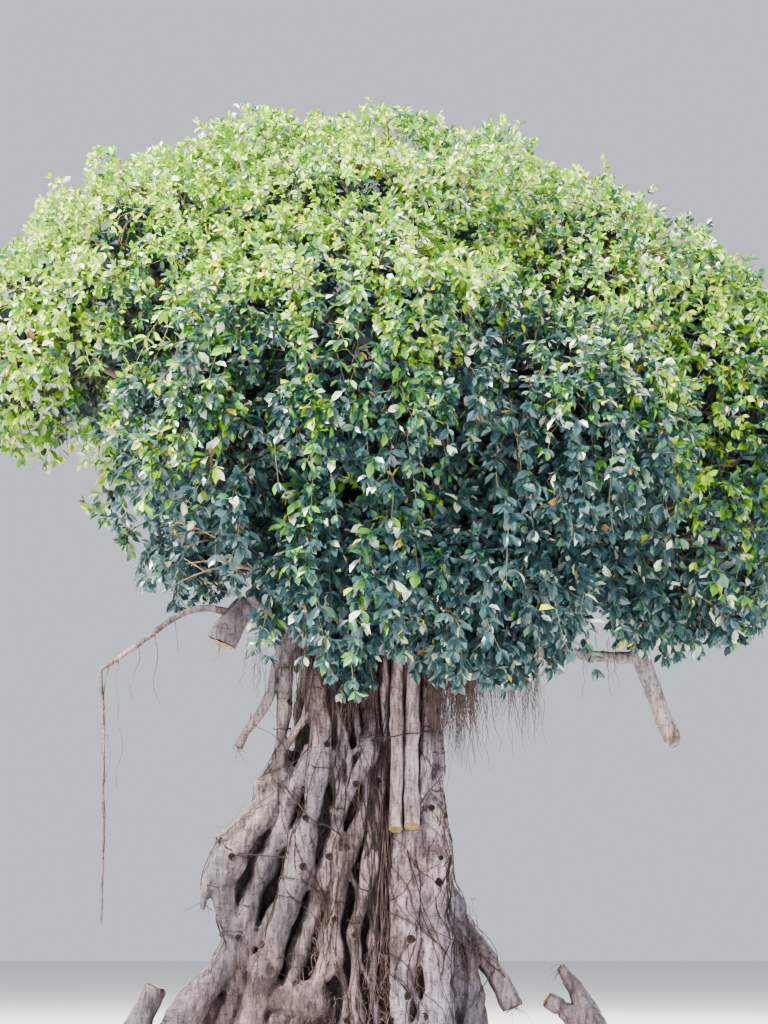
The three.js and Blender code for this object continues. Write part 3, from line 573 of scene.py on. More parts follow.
def fused_wood(name, stems):
    """All the stems fused into one skin by a fine voxel remesh, with relief, cut flat at the ground."""
    vertices = []
    faces = []
    for seed, stations in enumerate(stems):
        rows, sides = fluted_tube(stations, seed)
        faces += [tuple(corner + len(vertices) for corner in face) for face in sides]
        vertices += rows
    mesh = bpy.data.meshes.new(name)
    mesh.from_pydata(vertices, [], faces)
    mesh.update()
    piece = linked(name, mesh)
    fuse = piece.modifiers.new("fuse", "REMESH")
    fuse.mode = "VOXEL"
    fuse.voxel_size = VOXEL
    mesh = applied(piece)
    roughen(mesh, scar_places(mesh))
    thin = piece.modifiers.new("thin", "DECIMATE")
    thin.ratio = min(1.0, TRUNK_TRIANGLES / (2 * len(mesh.polygons)))
    mesh = applied(piece)
    cut_at_ground(mesh)
    mesh.shade_smooth()
    return piece


def mesh_places(mesh):
    """A mesh's corners and their normals."""
    places = np.empty(len(mesh.vertices) * 3, dtype=np.float32)
    normals = np.empty(len(mesh.vertices) * 3, dtype=np.float32)
    mesh.vertices.foreach_get("co", places)
    mesh.vertex_normals.foreach_get("vector", normals)
    return places.reshape(-1, 3), normals.reshape(-1, 3)


def skin_of(mesh):
    """A tree of a mesh's faces to cast rays at."""
    body = bmesh.new()
    body.from_mesh(mesh)
    skin = BVHTree.FromBMesh(body)
    body.free()
    return skin


def scar_places(mesh):
    """Where small round scars sit on the skin, with their radii: the front's own, then seeded ones."""
    skin = skin_of(mesh)
    scars = []
    for x, z, radius in FRONT_KNOTS:
        hit = skin.ray_cast(Vector((x * MM, -FRONT_REACH, z * MM)), Vector((0, 1, 0)))
        if hit[0]:
            scars.append((*hit[0], radius * MM))
    random = np.random.default_rng(KNOTS["seed"])
    for _ in range(KNOTS["count"]):
        turn, height = random.uniform(0, 2 * math.pi), random.uniform(*KNOTS["heights"])
        out = Vector((math.cos(turn), math.sin(turn), 0))
        hit = skin.ray_cast(Vector((TRUNK_MIDDLE, 0, height)) + out * KNOTS["reach"], -out)
        if hit[0]:
            scars.append((*hit[0], random.uniform(*KNOTS["radius"])))
    return np.array(scars)


def roughen(mesh, scars):
    """Moves the skin by the bark's lumps, knobs, ridges, crosswise wrinkles, fissures and raised scars."""
    places, normals = mesh_places(mesh)
    depth = sum(height * noise_at(places, scale, shift) for scale, shift, height in RELIEF)
    crack = np.abs(noise_at(places, FISSURES["scale"], FISSURES["shift"]))
    depth = depth - FISSURES["depth"] * np.clip(1 - crack / FISSURES["width"], 0, 1)
    for x, y, z, radius in scars:
        gap = np.linalg.norm(places - np.array([x, y, z]), axis=1) / radius
        rim = SCAR_RIM["height"] * radius * np.exp(-((gap - SCAR_RIM["place"]) ** 2) / SCAR_RIM["width"])
        depth += rim - SCAR_PIT["depth"] * radius * np.exp(-(gap**2) / SCAR_PIT["width"])
    mesh.vertices.foreach_set("co", (places + normals * depth[:, None]).ravel())
    mesh.update()


def cut_at_ground(mesh):
    """Cuts a mesh flat at ground level and closes it."""
    body = bmesh.new()
    body.from_mesh(mesh)
    everything = body.verts[:] + body.edges[:] + body.faces[:]
    bmesh.ops.bisect_plane(body, geom=everything, plane_co=(0, 0, 0), plane_no=(0, 0, 1), clear_inner=True)
    open_edges = [edge for edge in body.edges if edge.is_boundary]
    bmesh.ops.holes_fill(body, edges=open_edges, sides=0)
    bmesh.ops.triangulate(body, faces=[face for face in body.faces if len(face.verts) > 4])
    body.to_mesh(mesh)
    body.free()


# Crown: where everything grows

CENTRES = np.array([mass[1] for mass in MASSES], dtype=float) * MM
REACHES = np.array([mass[2] for mass in MASSES], dtype=float) * MM


def borders_of(index):
    """The flat borders of a mass's space: unit normals and offsets, as in the source."""
    own, reach = CENTRES[index], REACHES[index]
    normals = []
    offsets = []
    for other in range(len(MASSES)):
        if other == index:
            continue
        gap = CENTRES[other] - own
        distance = np.linalg.norm(gap)
        normal = gap / distance
        near = 1 / np.linalg.norm(normal / reach)
        far = 1 / np.linalg.norm(normal / REACHES[other])
        normals.append(normal)
        offsets.append(normal @ own + distance * near / (near + far))
    return np.array(normals), np.array(offsets)


def inside(points, borders, margin=0.0):
    """Which points keep inside the borders by the margin."""
    normals, offsets = borders
    return np.all(points @ normals.T < offsets - margin, axis=-1)


def share_of(points, index):
    """How far out points are in a mass: 0 at its centre, 1 at its outer limit."""
    return np.linalg.norm((points - CENTRES[index]) / REACHES[index], axis=-1)


def spiral(index, count, inner_limit):
    """Directions on the source's golden-angle spiral round a mass's outermost point."""
    outward = normalized(CENTRES[index] - HEAD)
    across = normalized(np.array([outward[2], 0.0, -outward[0]]))
    up = np.cross(outward, across)
    place = np.arange(count)
    height = 1 - (1 - inner_limit) * (place + 0.3) / count
    angle = place * GOLDEN_ANGLE + index
    ring = np.sqrt(1 - height**2)
    directions = height[:, None] * outward + (ring * np.cos(angle))[:, None] * across
    return directions + (ring * np.sin(angle))[:, None] * up


def carrier_of(index):
    """The bough from the trunk's head to where it enters its mass, and the stem on to the mass's centre."""
    borders = borders_of(index)
    centre = CENTRES[index]
    start = HEAD + (centre - HEAD) * BOUGH_START
    arch = (start + centre) / 2 + UP * BOUGH_RISE * np.linalg.norm(centre - start)
    line = bezier(start[None], arch[None], centre[None], 201)[0]
    within = (share_of(line, index) < BOUGH_END_SHARE) & inside(line, borders, BOUGH_RADII[1])
    entry = len(line) - 1 - int(np.argmin(within[::-1]))
    rings = np.linspace(0, entry, 26).astype(int)
    inner = np.linspace(entry, 200, 9).astype(int)
    return line[rings], line[inner]


def surface_area(reach):
    """The area of an ellipsoid with these half sizes."""
    p = 1.6075
    a, b, c = reach**p
    return 4 * math.pi * ((a * b + a * c + b * c) / 3) ** (1 / p)


def nearest(points, goals):
    """For each goal, the index of the nearest point."""
    return ((goals[:, None] - points[None]) ** 2).sum(axis=2).argmin(axis=1)


def wood_segments():
    """The trunk and the thick low limbs as short straight pieces: ends and radii."""
    segments = []
    for stations in FRONT_STEMS + SAWN_PAIR + STUBS + CORE_STEMS + [RIGHT_REACH, RIGHT_DROP, LEFT_STUB]:
        line, radii = limb_line(stations, 0.15)
        segments += [(a, b, max(r, s)) for a, b, r, s in zip(line, line[1:], radii, radii[1:])]
    starts, ends, radii = zip(*segments)
    return np.array(starts), np.array(ends), np.array(radii)


WOOD = wood_segments()


def clear_of_wood(points, margin):
    """Which points keep clear of the trunk and the low limbs."""
    starts, ends, radii = WOOD
    run = ends - starts
    t = np.einsum("nsk,sk->ns", points[:, None] - starts, run) / (run**2).sum(axis=1)
    foot = starts + np.clip(t, 0, 1)[..., None] * run
    distance = np.linalg.norm(points[:, None] - foot, axis=2)
    return np.all(distance > radii + margin, axis=1)


def first_twigs(index):
    """The source's twigs of one mass: paths from its centre to tips near its reach."""
    count = MASSES[index][3]
    directions = spiral(index, count, INNER_LIMIT)
    low, high = TWIG_TIP_SHARE
    shares = np.array([low + (high - low) * seeded(MASS_SEED * (index + 1) + i)() for i in range(count)])
    tips = CENTRES[index] + directions * REACHES[index] * shares[:, None]
    tips = tips[inside(tips, borders_of(index), TWIG_RADIUS) & (openness(tips) > 0.5)]
    starts = np.repeat(CENTRES[index][None], len(tips), axis=0)
    crest, height = TWIG_CREST
    middles = starts + (tips - starts) * crest + UP * height
    return bezier(starts, middles, tips, 13)


def openness(tips):
    """The share of sprays to keep at each tip, lower where daylight comes through the crown."""
    share = np.ones(len(tips))
    for centre, reach, part in DAYLIGHT:
        gap = np.linalg.norm((tips - np.array(centre)) / np.array(reach), axis=1)
        share = np.minimum(share, part + (1 - part) * rise(gap, 0.75, 0.35))
    return share


def hollow_at(places):
    """How much each place lies in a dark hollow of the crown's shaded front, from 0 to 1."""
    deep = np.clip(3.2 * noise_at(places, HOLLOW[0], 17) - 0.25, 0, 1)
    return deep * rise(-places[:, 1], 0.2, 0.3) * rise(-places[:, 2], -3.0, 0.35)


def dome_over(places):
    """The height of the crown's even top over each place."""
    height, left, right, depth = DOME
    return height - np.where(places[:, 0] < 0, left, right) * places[:, 0] ** 2 - depth * places[:, 1] ** 2


def twig_tips(index, random, level):
    """Where the twigs of a level end in a mass, and the way out of the crown at each tip."""
    borders = borders_of(index)
    count = int(level["density"] * surface_area(REACHES[index]))
    directions = spiral(index, count, level["limit"])
    directions = normalized(directions + random.normal(0, 0.75 / math.sqrt(count), directions.shape))
    low, high = level["shares"]
    outermost = level is OUTER_SPRAYS
    edge = CENTRES[index] + directions * REACHES[index]
    clump = np.clip(0.5 + CLUMPS["contrast"] * noise_at(edge, CLUMPS["scale"]), 0, 1)
    hollow = hollow_at(edge) * outermost
    uneven = CLUMPS["share"] * clump + CLUMPS["whim"] * random.random(count)
    share = low + (high - low) * uneven - HOLLOW[1] * hollow
    tips = CENTRES[index] + directions * REACHES[index] * share[:, None]
    own_out = normalized(directions / REACHES[index])
    crown_out = normalized((tips - CROWN_HEART) / CROWN_REACH**2)
    exposed = (own_out * crown_out).sum(axis=1)
    kept = inside(tips, borders, -OVERLAP * outermost) & clear_of_wood(tips, TIP_CLEARANCE)
    open_share = openness(tips) ** (4 if level is HEART_SPRAYS else 1)
    chance = np.clip(0.75 + 0.6 * exposed, LEAST_CHANCE, 1) * open_share * (1 - HOLLOW[2] * hollow)
    kept &= random.random(count) < chance
    border_gap = np.maximum((borders[1] - tips @ borders[0].T).min(axis=1), 0)
    farther = VALLEY[0] * np.exp(-((border_gap / VALLEY[1]) ** 2)) * np.clip(2 * exposed - 0.6, 0, 1)
    farther = farther * (1 - hollow)
    tips = tips + crown_out * (farther * REACHES[index].mean())[:, None] * outermost
    dome = dome_over(tips) + random.normal(0, 0.02, count)
    tips[:, 2] -= DOME_HOLD * np.maximum(tips[:, 2] - dome, 0)
    within = np.all(np.abs(tips[:, :2]) < SPRIGS["within"], axis=1)
    high_up = rise(tips[:, 2], SPRIGS["from"], SPRIGS["over"]) * within
    sprigs = random.random(count) < SPRIGS["share"]
    tips = tips + own_out * (SPRIGS["reach"] * high_up * sprigs * outermost)[:, None]
    return tips[kept], normalized(0.5 * own_out[kept] + 0.5 * crown_out[kept])


def branch_out(index, random, level, carriers):
    """The next level of twigs: paths, the way out of the crown at each tip, and how much each one hangs."""
    tips, out = twig_tips(index, random, level)
    way = TWIG_WAY
    hang = level["hang"] * np.clip(0.8 - out[:, 2], 0, 1.3) * random.uniform(*TWIG_WHIM["hang"], len(tips))
    goals = tips - out * (way["back"] - way["less_back"] * hang)[:, None]
    goals = goals + UP * (way["above"] * hang)[:, None]
    goals = goals + random.normal(0, TWIG_WHIM["start"], tips.shape)
    starts = carriers[nearest(carriers, goals)]
    length = np.linalg.norm(tips - starts, axis=1)
    shortest, longest = TWIG_LENGTHS
    kept = (length > shortest) & (length < longest)
    tips, out, hang, starts, length = tips[kept], out[kept], hang[kept], starts[kept], length[kept, None]
    upwards = UP * (way["up"] + way["more_up"] * hang)[:, None] * length
    middles = (tips + starts) / 2 + out * way["out"] * length + upwards
    middles = middles + random.normal(0, TWIG_WHIM["bow"], tips.shape) * length
    return bezier(starts, middles, tips, level["rings"]), out, hang


def hanging_strands(index, random, carriers):
    """Long strands that arch out of a front mass and then hang in front of it."""
    count = STRANDS_PER_MASS.get(MASSES[index][0], 0)
    centre, reach = CENTRES[index], REACHES[index]
    way = STRAND_WAY
    turn = random.uniform(-way["turn"], way["turn"], count)
    lift = random.uniform(*way["lift"], count)
    directions = normalized(np.stack([np.sin(turn), -np.cos(turn), lift], axis=1))
    heads = centre + directions * reach * random.uniform(*way["head"], count)[:, None]
    kept = inside(heads, borders_of(index), -0.02) & (random.random(count) < openness(heads) + 0.1)
    kept &= heads[:, 0] > LEFTMOST_STRAND
    heads, directions = heads[kept], directions[kept]
    heads[:, 1] = np.maximum(heads[:, 1], cad_box[0][1] + FRONT_ROOM)
    out = normalized(directions / reach)
    starts = carriers[nearest(carriers, heads - out * way["back"] + UP * way["above"])]
    drop = random.uniform(*STRAND_DROPS, len(heads))
    side = np.where(heads[:, 0] < way["split"], *way["sweeps"])
    sweep = np.stack([side * drop, np.zeros(len(heads)), -drop], axis=1)
    ends = heads + out * [1, 0.3, 0] * way["out"] + sweep
    ends = ends + random.normal(0, STRAND_WHIM["end"], heads.shape) * [1, 0.5, 1]
    bend = heads + out * way["bend"] + UP * way["bend_up"]
    ends[:, 1] = np.maximum(ends[:, 1], cad_box[0][1] + FRONT_ROOM)
    before_trunk = np.abs(ends[:, 0] - BEFORE_TRUNK["x"]) < BEFORE_TRUNK["half"]
    ends[:, 2] -= BEFORE_TRUNK["longer"] * (before_trunk & (ends[:, 2] < BEFORE_TRUNK["below"]))
    lowest = np.where(before_trunk, LOWEST_STRAND - BEFORE_TRUNK["lowest"], LOWEST_STRAND)
    ends[:, 2] = np.maximum(ends[:, 2], lowest)
    kept = 0.5 * random.random(len(ends)) < openness(ends)
    starts, heads, bend, ends, out = starts[kept], heads[kept], bend[kept], ends[kept], out[kept]
    first = bezier(starts, (starts + heads) / 2 + UP * way["arch"], heads, 5)
    second = bezier(heads, bend, ends, 9)
    paths = np.concatenate([first, second[:, 1:]], axis=1)
    sway = random.normal(0, STRAND_WHIM["sway"], paths.shape)
    sway = np.linspace(0, 1, paths.shape[1])[None, :, None] * sway
    return paths + sway, out, np.full(len(paths), 0.9)


def trunk_veil(carriers):
    """Short leafy strands that hang straight down before the trunk's middle."""
    random = np.random.default_rng(VEIL["seed"])
    ends = random.uniform(VEIL["low"], VEIL["high"], (VEIL["count"], 3))
    heads = ends * [1, 1, 0] + [0, 0.02, VEIL["head"]]
    starts = carriers[nearest(carriers, heads)]
    paths = bezier(starts, heads + random.normal(0, 0.02, heads.shape), ends, 9)
    out = normalized(random.normal(0, 0.3, ends.shape) + [0, -1, 0])
    return paths, out, np.full(len(paths), 0.9)


# Shoots and leaves


def at_place(paths, which, place):
    """Points on chosen paths at places from 0 to 1, and the paths' directions there."""
    last = paths.shape[1] - 1
    at = np.clip(place, 0, 1) * last
    low = np.minimum(at.astype(int), last - 1)
    part = (at - low)[:, None]
    before, after = paths[which, low], paths[which, low + 1]
    return before * (1 - part) + after * part, normalized(after - before)


def round_directions(tangent, turn):
    """Unit vectors across a direction, at a turn round it."""
    side = normalized(np.cross(tangent, UP + [0.01, 0.02, 0]))
    other = np.cross(tangent, side)
    return side * np.cos(turn)[:, None] + other * np.sin(turn)[:, None]


def shoots_along(sprays, random, leafy):
    """Short side shoots near the tips of sprays: which spray, starts, ends and distance from the tip."""
    paths, out, hang = sprays
    length = np.linalg.norm(np.diff(paths, axis=1), axis=2).sum(axis=1)
    most = int(leafy / SHOOT_SPACING) + 1
    order = np.arange(most)
    jitter = random.uniform(-SHOOTS["jitter"], SHOOTS["jitter"], (len(paths), most)) * SHOOT_SPACING
    back = (order * SHOOT_SPACING)[None] + jitter
    back[:, 0] = 0
    place = 1 - back / length[:, None]
    gappy = random.random(back.shape) < np.where(order == 0, 1.0, SHOOTS["share"])
    which, step = np.nonzero((place > SHOOTS["lowest"]) & (back < leafy) & gappy)
    back = back[which, step]
    starts, tangent = at_place(paths, which, place[which, step])
    roll = random.uniform(0, 2 * math.pi, len(paths))[which]
    radial = round_directions(tangent, roll + step * GOLDEN_ANGLE + random.normal(0, 0.3, len(which)))
    at_tip = step == 0
    aim = SHOOT_AIM["along"] * tangent + SHOOT_AIM["aside"] * radial + SHOOT_AIM["out"] * out[which]
    aim = aim - UP * (SHOOT_AIM["droop"] * hang[which])[:, None]
    aim = np.where(at_tip[:, None], tangent, normalized(aim))
    longer = SHOOTS["longer"] * random.random(len(which)) * np.clip(0.4 + back / 0.15, 0, 1)
    size = np.where(at_tip, SHOOTS["tip"], SHOOTS["shortest"] + longer)
    return which, starts, starts + aim * size[:, None], back


def leaves_on_shoots(sprays, shoots, random, per_shoot, leaf_length):
    """Leaves in whorls on shoots: which spray, roots, directions, facings, lengths and how young each is."""
    _, out, hang = sprays
    which, starts, ends, back = shoots
    counts = random.integers(per_shoot[0], per_shoot[1] + 1, len(which))
    order = np.arange(per_shoot[1])
    shoot, step = np.nonzero(order[None] < counts[:, None])
    run = ends - starts
    aim = normalized(run)
    place = 1 - step / per_shoot[1] * random.uniform(0.55, 0.95, len(shoot))
    roots = starts[shoot] + run[shoot] * place[:, None]
    roll = random.uniform(0, 2 * math.pi, len(which))[shoot]
    radial = round_directions(aim[shoot], roll + step * GOLDEN_ANGLE + random.normal(0, 0.25, len(shoot)))
    away = out[which[shoot]]
    droop = hang[which[shoot]]
    at_end = (step == 0)[:, None]
    lean = LEAF_AIM
    along = np.where(at_end, *lean["along"]) * aim[shoot] + np.where(at_end, *lean["aside"]) * radial
    along = along + lean["out"] * away - UP * (lean["down"] + lean["droop"] * droop)[:, None]
    along = along + random.normal(0, lean["whim"], along.shape)
    facing = LEAF_FACING["out"] * away + LEAF_FACING["up"] * UP
    facing = facing + random.normal(0, LEAF_FACING["whim"], along.shape)
    near_tip = np.clip(1 - back[shoot] / YOUNG["reach"], 0, 1)
    youth = near_tip * YOUNG["by_place"] + YOUNG["at_end"] * (step == 0)
    lengths = leaf_length * random.uniform(*LEAF_SPREAD, len(shoot)) * (1 - YOUNG["smaller"] * youth)
    lengths = lengths * np.interp(roots[:, 2], *SIZE_BY_HEIGHT)
    return which[shoot], roots, normalized(along), facing, lengths, youth


LEAF_CORNERS = np.array([  # along, across and out of the leaf, as shares of its length, width and length
    [0.0, 0.0, 0.0],
    [0.26, 0.38, 0.09],
    [0.66, 0.47, 0.07],
    [1.0, 0.0, -0.12],
    [0.66, -0.47, 0.07],
    [0.26, -0.38, 0.09],
    [0.50, 0.0, -0.02],
])
LEAF_FACES = np.array([[0, 6, 1], [1, 6, 2], [2, 6, 3], [3, 6, 4], [4, 6, 5], [5, 6, 0]])
PLAIN_LEAF_FACES = np.array([[0, 5, 1], [1, 5, 4], [1, 4, 2], [2, 4, 3]])


def leaf_mesh(roots, along, facing, lengths, widths, plain=False):
    """Corners and faces of many leaves from arrays of their roots, directions and sizes."""
    across = normalized(np.cross(facing, along))
    out = np.cross(along, across)
    shape = LEAF_CORNERS[:6] if plain else LEAF_CORNERS
    pattern = PLAIN_LEAF_FACES if plain else LEAF_FACES
    corners = (
        roots[:, None]
        + along[:, None] * (shape[:, 0] * lengths[:, None])[..., None]
        + across[:, None] * (shape[:, 1] * widths[:, None])[..., None]
        + out[:, None] * (shape[:, 2] * lengths[:, None])[..., None]
    )
    faces = pattern[None] + (np.arange(len(roots)) * len(shape))[:, None, None]
    return corners.reshape(-1, 3), faces.reshape(-1, 3)


# Materials


def new_material(name, roughness, colour=None):
    """A plain principled material and its node tree."""
    material = bpy.data.materials.new(name)
    material.use_nodes = True
    shader = material.node_tree.nodes["Principled BSDF"]
    shader.inputs["Roughness"].default_value = roughness
    if colour:
        shader.inputs["Base Color"].default_value = (*colour, 1)
    return material, material.node_tree, shader


def add_node(tree, kind, **values):
    """A node with some of its inputs or properties set."""
    node = tree.nodes.new(kind)
    for key, value in values.items():
        if hasattr(node, key):
            setattr(node, key, value)
        else:
            node.inputs[key.replace("_", " ")].default_value = value
    return node


def stretched_place(tree, scale):
    """Object coordinates, stretched by a scale along each axis."""
    place = add_node(tree, "ShaderNodeTexCoord")
    stretch = add_node(tree, "ShaderNodeMapping", Scale=scale)
    tree.links.new(place.outputs["Object"], stretch.inputs["Vector"])
    return stretch.outputs["Vector"]


def noise_over(tree, stretch, scale, detail, roughness=0.5):
    """A noise texture over stretched object coordinates."""
    texture = add_node(tree, "ShaderNodeTexNoise", Scale=scale, Detail=detail, Roughness=roughness)
    tree.links.new(stretched_place(tree, stretch), texture.inputs["Vector"])
    return texture.outputs["Fac"]


def colour_ramp(tree, value, stops):
    """A ramp of colours over a value."""
    ramp = add_node(tree, "ShaderNodeValToRGB")
    elements = ramp.color_ramp.elements
    while len(elements) < len(stops):
        elements.new(0.5)
    for element, (position, colour) in zip(elements, stops):
        element.position = position
        element.color = (*colour, 1)
    tree.links.new(value, ramp.inputs["Fac"])
    return ramp.outputs["Color"]


def grey_stops(*stops):
    """Ramp stops in grey, from positions and levels."""
    return [(position, (level, level, level)) for position, level in stops]


def blended(tree, kind, factor, first, second):
    """Two colours blended by a factor; the factor and the second colour are each a value or an output."""
    mix = add_node(tree, "ShaderNodeMix", data_type="RGBA", blend_type=kind)
    if isinstance(factor, float):
        mix.inputs[0].default_value = factor
    else:
        tree.links.new(factor, mix.inputs[0])
    tree.links.new(first, mix.inputs[6])
    if isinstance(second, tuple):
        mix.inputs[7].default_value = (*second, 1)
    else:
        tree.links.new(second, mix.inputs[7])
    return mix.outputs[2]


def add_bump(tree, shader, heights, strength, distance):
    """A bump from the sum of two heights."""
    total = add_node(tree, "ShaderNodeMath", operation="ADD")
    tree.links.new(heights[0], total.inputs[0])
    tree.links.new(heights[1], total.inputs[1])
    bump = add_node(tree, "ShaderNodeBump", Strength=strength, Distance=distance)
    tree.links.new(total.outputs[0], bump.inputs["Height"])
    tree.links.new(bump.outputs["Normal"], shader.inputs["Normal"])


def bark_material(name, warm, pale, cool):
    """Grey-beige bark: weathered patches, long fissures, crosswise wrinkles and dark specks, with painted
    shade in deep folds and between stems, grime and painted shade towards the ground, and bands of painted
    light and shade across it.
    """
    material, tree, shader = new_material(name, 0.82)
    patches = noise_over(tree, (1, 1, 0.5), 9.0, 8.0, 0.66)
    grain = noise_over(tree, (1, 1, 0.16), 70.0, 8.0, 0.72)
    wrinkles = noise_over(tree, (0.25, 0.25, 1.3), 95.0, 5.0, 0.6)
    specks = noise_over(tree, (1, 1, 0.8), 120.0, 3.0, 0.5)
    chill = noise_over(tree, (1, 1, 0.7), 2.6, 3.0)
    bright = tuple(1.5 * channel for channel in pale)
    base = colour_ramp(tree, patches, [(0.42, warm), (0.50, pale), (0.61, bright)])
    base = blended(tree, "MIX", colour_ramp(tree, chill, grey_stops((0.44, 0.0), (0.60, 0.75))), base, cool)
    fine = colour_ramp(tree, grain, [
        (0.39, (0.26, 0.20, 0.20)), (0.49, (0.76, 0.72, 0.72)), (0.58, (1.1, 1.1, 1.1))])
    lines = colour_ramp(tree, wrinkles, grey_stops((0.34, 0.45), (0.45, 1.0), (0.60, 1.0), (0.70, 1.25)))
    dots = colour_ramp(tree, specks, grey_stops((0.31, 0.35), (0.37, 1.0)))
    colour = blended(tree, "MULTIPLY", 0.95, base, fine)
    colour = blended(tree, "MULTIPLY", 0.85, colour, lines)
    colour = blended(tree, "MULTIPLY", 0.9, colour, dots)
    # Painted shade: the bark is darkened in its folds and in the gaps between stems, by how closed in each
    # place is
    painted_fold_shade = add_node(tree, "ShaderNodeAmbientOcclusion", Distance=0.15, samples=6)
    shade = colour_ramp(tree, painted_fold_shade.outputs["AO"], [
        (0.24, (0.10, 0.07, 0.08)), (0.52, (0.38, 0.32, 0.34)), (0.82, (1.0, 1.0, 1.0))])
    colour = blended(tree, "MULTIPLY", 1.0, colour, shade)
    place = add_node(tree, "ShaderNodeSeparateXYZ")
    tree.links.new(stretched_place(tree, (1, 1, 1)), place.inputs["Vector"])
    # Darker towards the ground, and a little darker up to a metre: partly grime, partly painted shade
    grime_and_painted_shade = colour_ramp(tree, place.outputs["Z"], [
        (0.0, (0.48, 0.47, 0.51)), (0.30, (0.76, 0.74, 0.77)), (0.50, (0.64, 0.63, 0.65)),
        (0.72, (0.70, 0.69, 0.71)), (1.0, (1.0, 1.0, 1.0))])
    colour = blended(tree, "MULTIPLY", 1.0, colour, grime_and_painted_shade)
    # Painted light and shade across the trunk by x: darker on the left, a bright cool band of painted light
    # on the right column, a dark band of painted shade just right of it, and lighter at the far right
    across_trunk = add_node(tree, "ShaderNodeMapRange")
    across_trunk.inputs["From Min"].default_value = -0.6
    across_trunk.inputs["From Max"].default_value = 0.7
    tree.links.new(place.outputs["X"], across_trunk.inputs["Value"])
    painted_light_across = colour_ramp(tree, across_trunk.outputs["Result"], [
        (0.0, (0.66, 0.64, 0.66)), (0.42, (0.80, 0.77, 0.79)), (0.57, (1.46, 1.47, 1.60)),
        (0.70, (1.46, 1.47, 1.60)), (0.75, (0.52, 0.51, 0.55)), (0.80, (0.56, 0.55, 0.59)),
        (0.86, (0.92, 0.91, 0.93)), (1.0, (1.15, 1.12, 1.10))])
    colour = blended(tree, "MULTIPLY", 1.0, colour, painted_light_across)
    tree.links.new(colour, shader.inputs["Base Color"])
    add_bump(tree, shader, (grain, wrinkles), 0.85, 0.008)
    return material


def cut_wood_material():
    """A sawn or broken end: tan wood with faint rings and a few dark stains."""
    material, tree, shader = new_material("cut_wood", 0.8)
    stain = noise_over(tree, (1, 1, 1), 30.0, 5.0, 0.6)
    fibre = noise_over(tree, (1, 1, 0.3), 150.0, 4.0, 0.6)
    colour = colour_ramp(tree, stain, [
        (0.34, (0.140, 0.070, 0.024)), (0.52, (0.270, 0.155, 0.048)), (0.70, (0.380, 0.250, 0.100))])
    tree.links.new(colour, shader.inputs["Base Color"])
    add_bump(tree, shader, (stain, fibre), 0.5, 0.003)
    return material


def leaf_material(name, colour, roughness, coat):
    """A waxy leaf: plain colour under a clear coat, its gloss broken by fine specks."""
    material, tree, shader = new_material(name, roughness, colour)
    shader.inputs["Coat Weight"].default_value = coat
    shader.inputs["Coat Roughness"].default_value = 0.24
    speck = noise_over(tree, (1, 1, 1), 160.0, 2.0)
    spread = add_node(tree, "ShaderNodeMapRange")
    spread.inputs["To Min"].default_value = roughness - 0.08
    spread.inputs["To Max"].default_value = roughness + 0.14
    tree.links.new(speck, spread.inputs["Value"])
    tree.links.new(spread.outputs["Result"], shader.inputs["Roughness"])
    return material


def twig_material(name, dark, light):
    """Thin bark whose colour wanders between two shades."""
    material, tree, shader = new_material(name, 0.75)
    shader.inputs["Specular IOR Level"].default_value = 0.2
    patches = noise_over(tree, (1, 1, 1), 24.0, 4.0)
    tree.links.new(colour_ramp(tree, patches, [(0.36, dark), (0.64, light)]), shader.inputs["Base Color"])
    return material


LEAF_KINDS = {  # base colour, roughness and how glossy the coat is
    # Deep to lime are dealt out by painted light: deep for the shaded leaves, lime for the sunlit ones and
    # for young shoots
    "deep": ((0.028, 0.075, 0.080), 0.30, 0.5),
    "mid": ((0.048, 0.150, 0.072), 0.32, 0.5),
    "fresh": ((0.125, 0.340, 0.024), 0.40, 0.3),
    "lime": ((0.390, 0.640, 0.004), 0.55, 0.1),
    # Pale leaves stand for paler leaf backs and, in part, painted glints of the bright sky
    "pale": ((0.700, 0.810, 0.560), 0.34, 0.5),
    "gold": ((0.850, 0.780, 0.010), 0.50, 0.2),
    "rust": ((0.300, 0.135, 0.060), 0.55, 0.3),
}
LEAF_LIGHT = (-0.02, 0.46, 0.90)  # where deep turns to mid, mid to fresh and fresh to lime
# A leaf's painted light from its place, dealt out as darker or lighter kinds: it grows with height and where
# the crown faces up, and falls to the right
HEIGHT_LIGHT = {"gain": 1.05, "none_at": 2.55, "facing_up": 0.38}
ACROSS_LIGHT = {"loss": 0.18, "between": (-0.6, 0.4), "loss_of_most": 0.14}
# The crown's flanks, painted brighter: where each starts, over what width it grows, and its painted light,
# and on the left a larger share of pale leaves
LEFT_FLANK = {"start": 0.95, "width": 0.3, "light": 0.75, "pale": 0.13}
RIGHT_FLANK = {"start": 0.85, "width": 0.4, "light": 0.58}
# Painted shade on the crown's front, deeper on the right: each pair is where it starts and over what width it
# grows
FRONT_SHADE = {
    "least": 0.18, "more": 0.36, "right": (0.1, 0.3), "front": (0.3, 0.5), "top": 3.2, "below": 0.4,
}
# A patch of painted shade on the crown's left: its middle, its reach and how much painted light it takes away
DIM_PATCH = {"x": -0.66, "z": 2.78, "reach": 0.30, "loss": 0.42}
YOUNG_LIGHT = 0.50
BRIGHTEST = 0.80  # the most light that a place alone gives
SPRAY_WHIM = 0.28  # how far one spray strays from the light of its place
LEAF_WHIM = 0.40  # how far one leaf strays from its spray's light
# Pale leaves are partly painted glints
PALE_AND_GLINT_SHARE = (0.04, 0.12, 0.16)  # the share of pale leaves: the least, how much more with light, and the most
ODD_SHARES = (0.035, 0.004)  # the share of gold leaves in full light, and of rust ones anywhere
LEAF_PIECE_MOST = 30000  # leaves in one piece


# Assembly


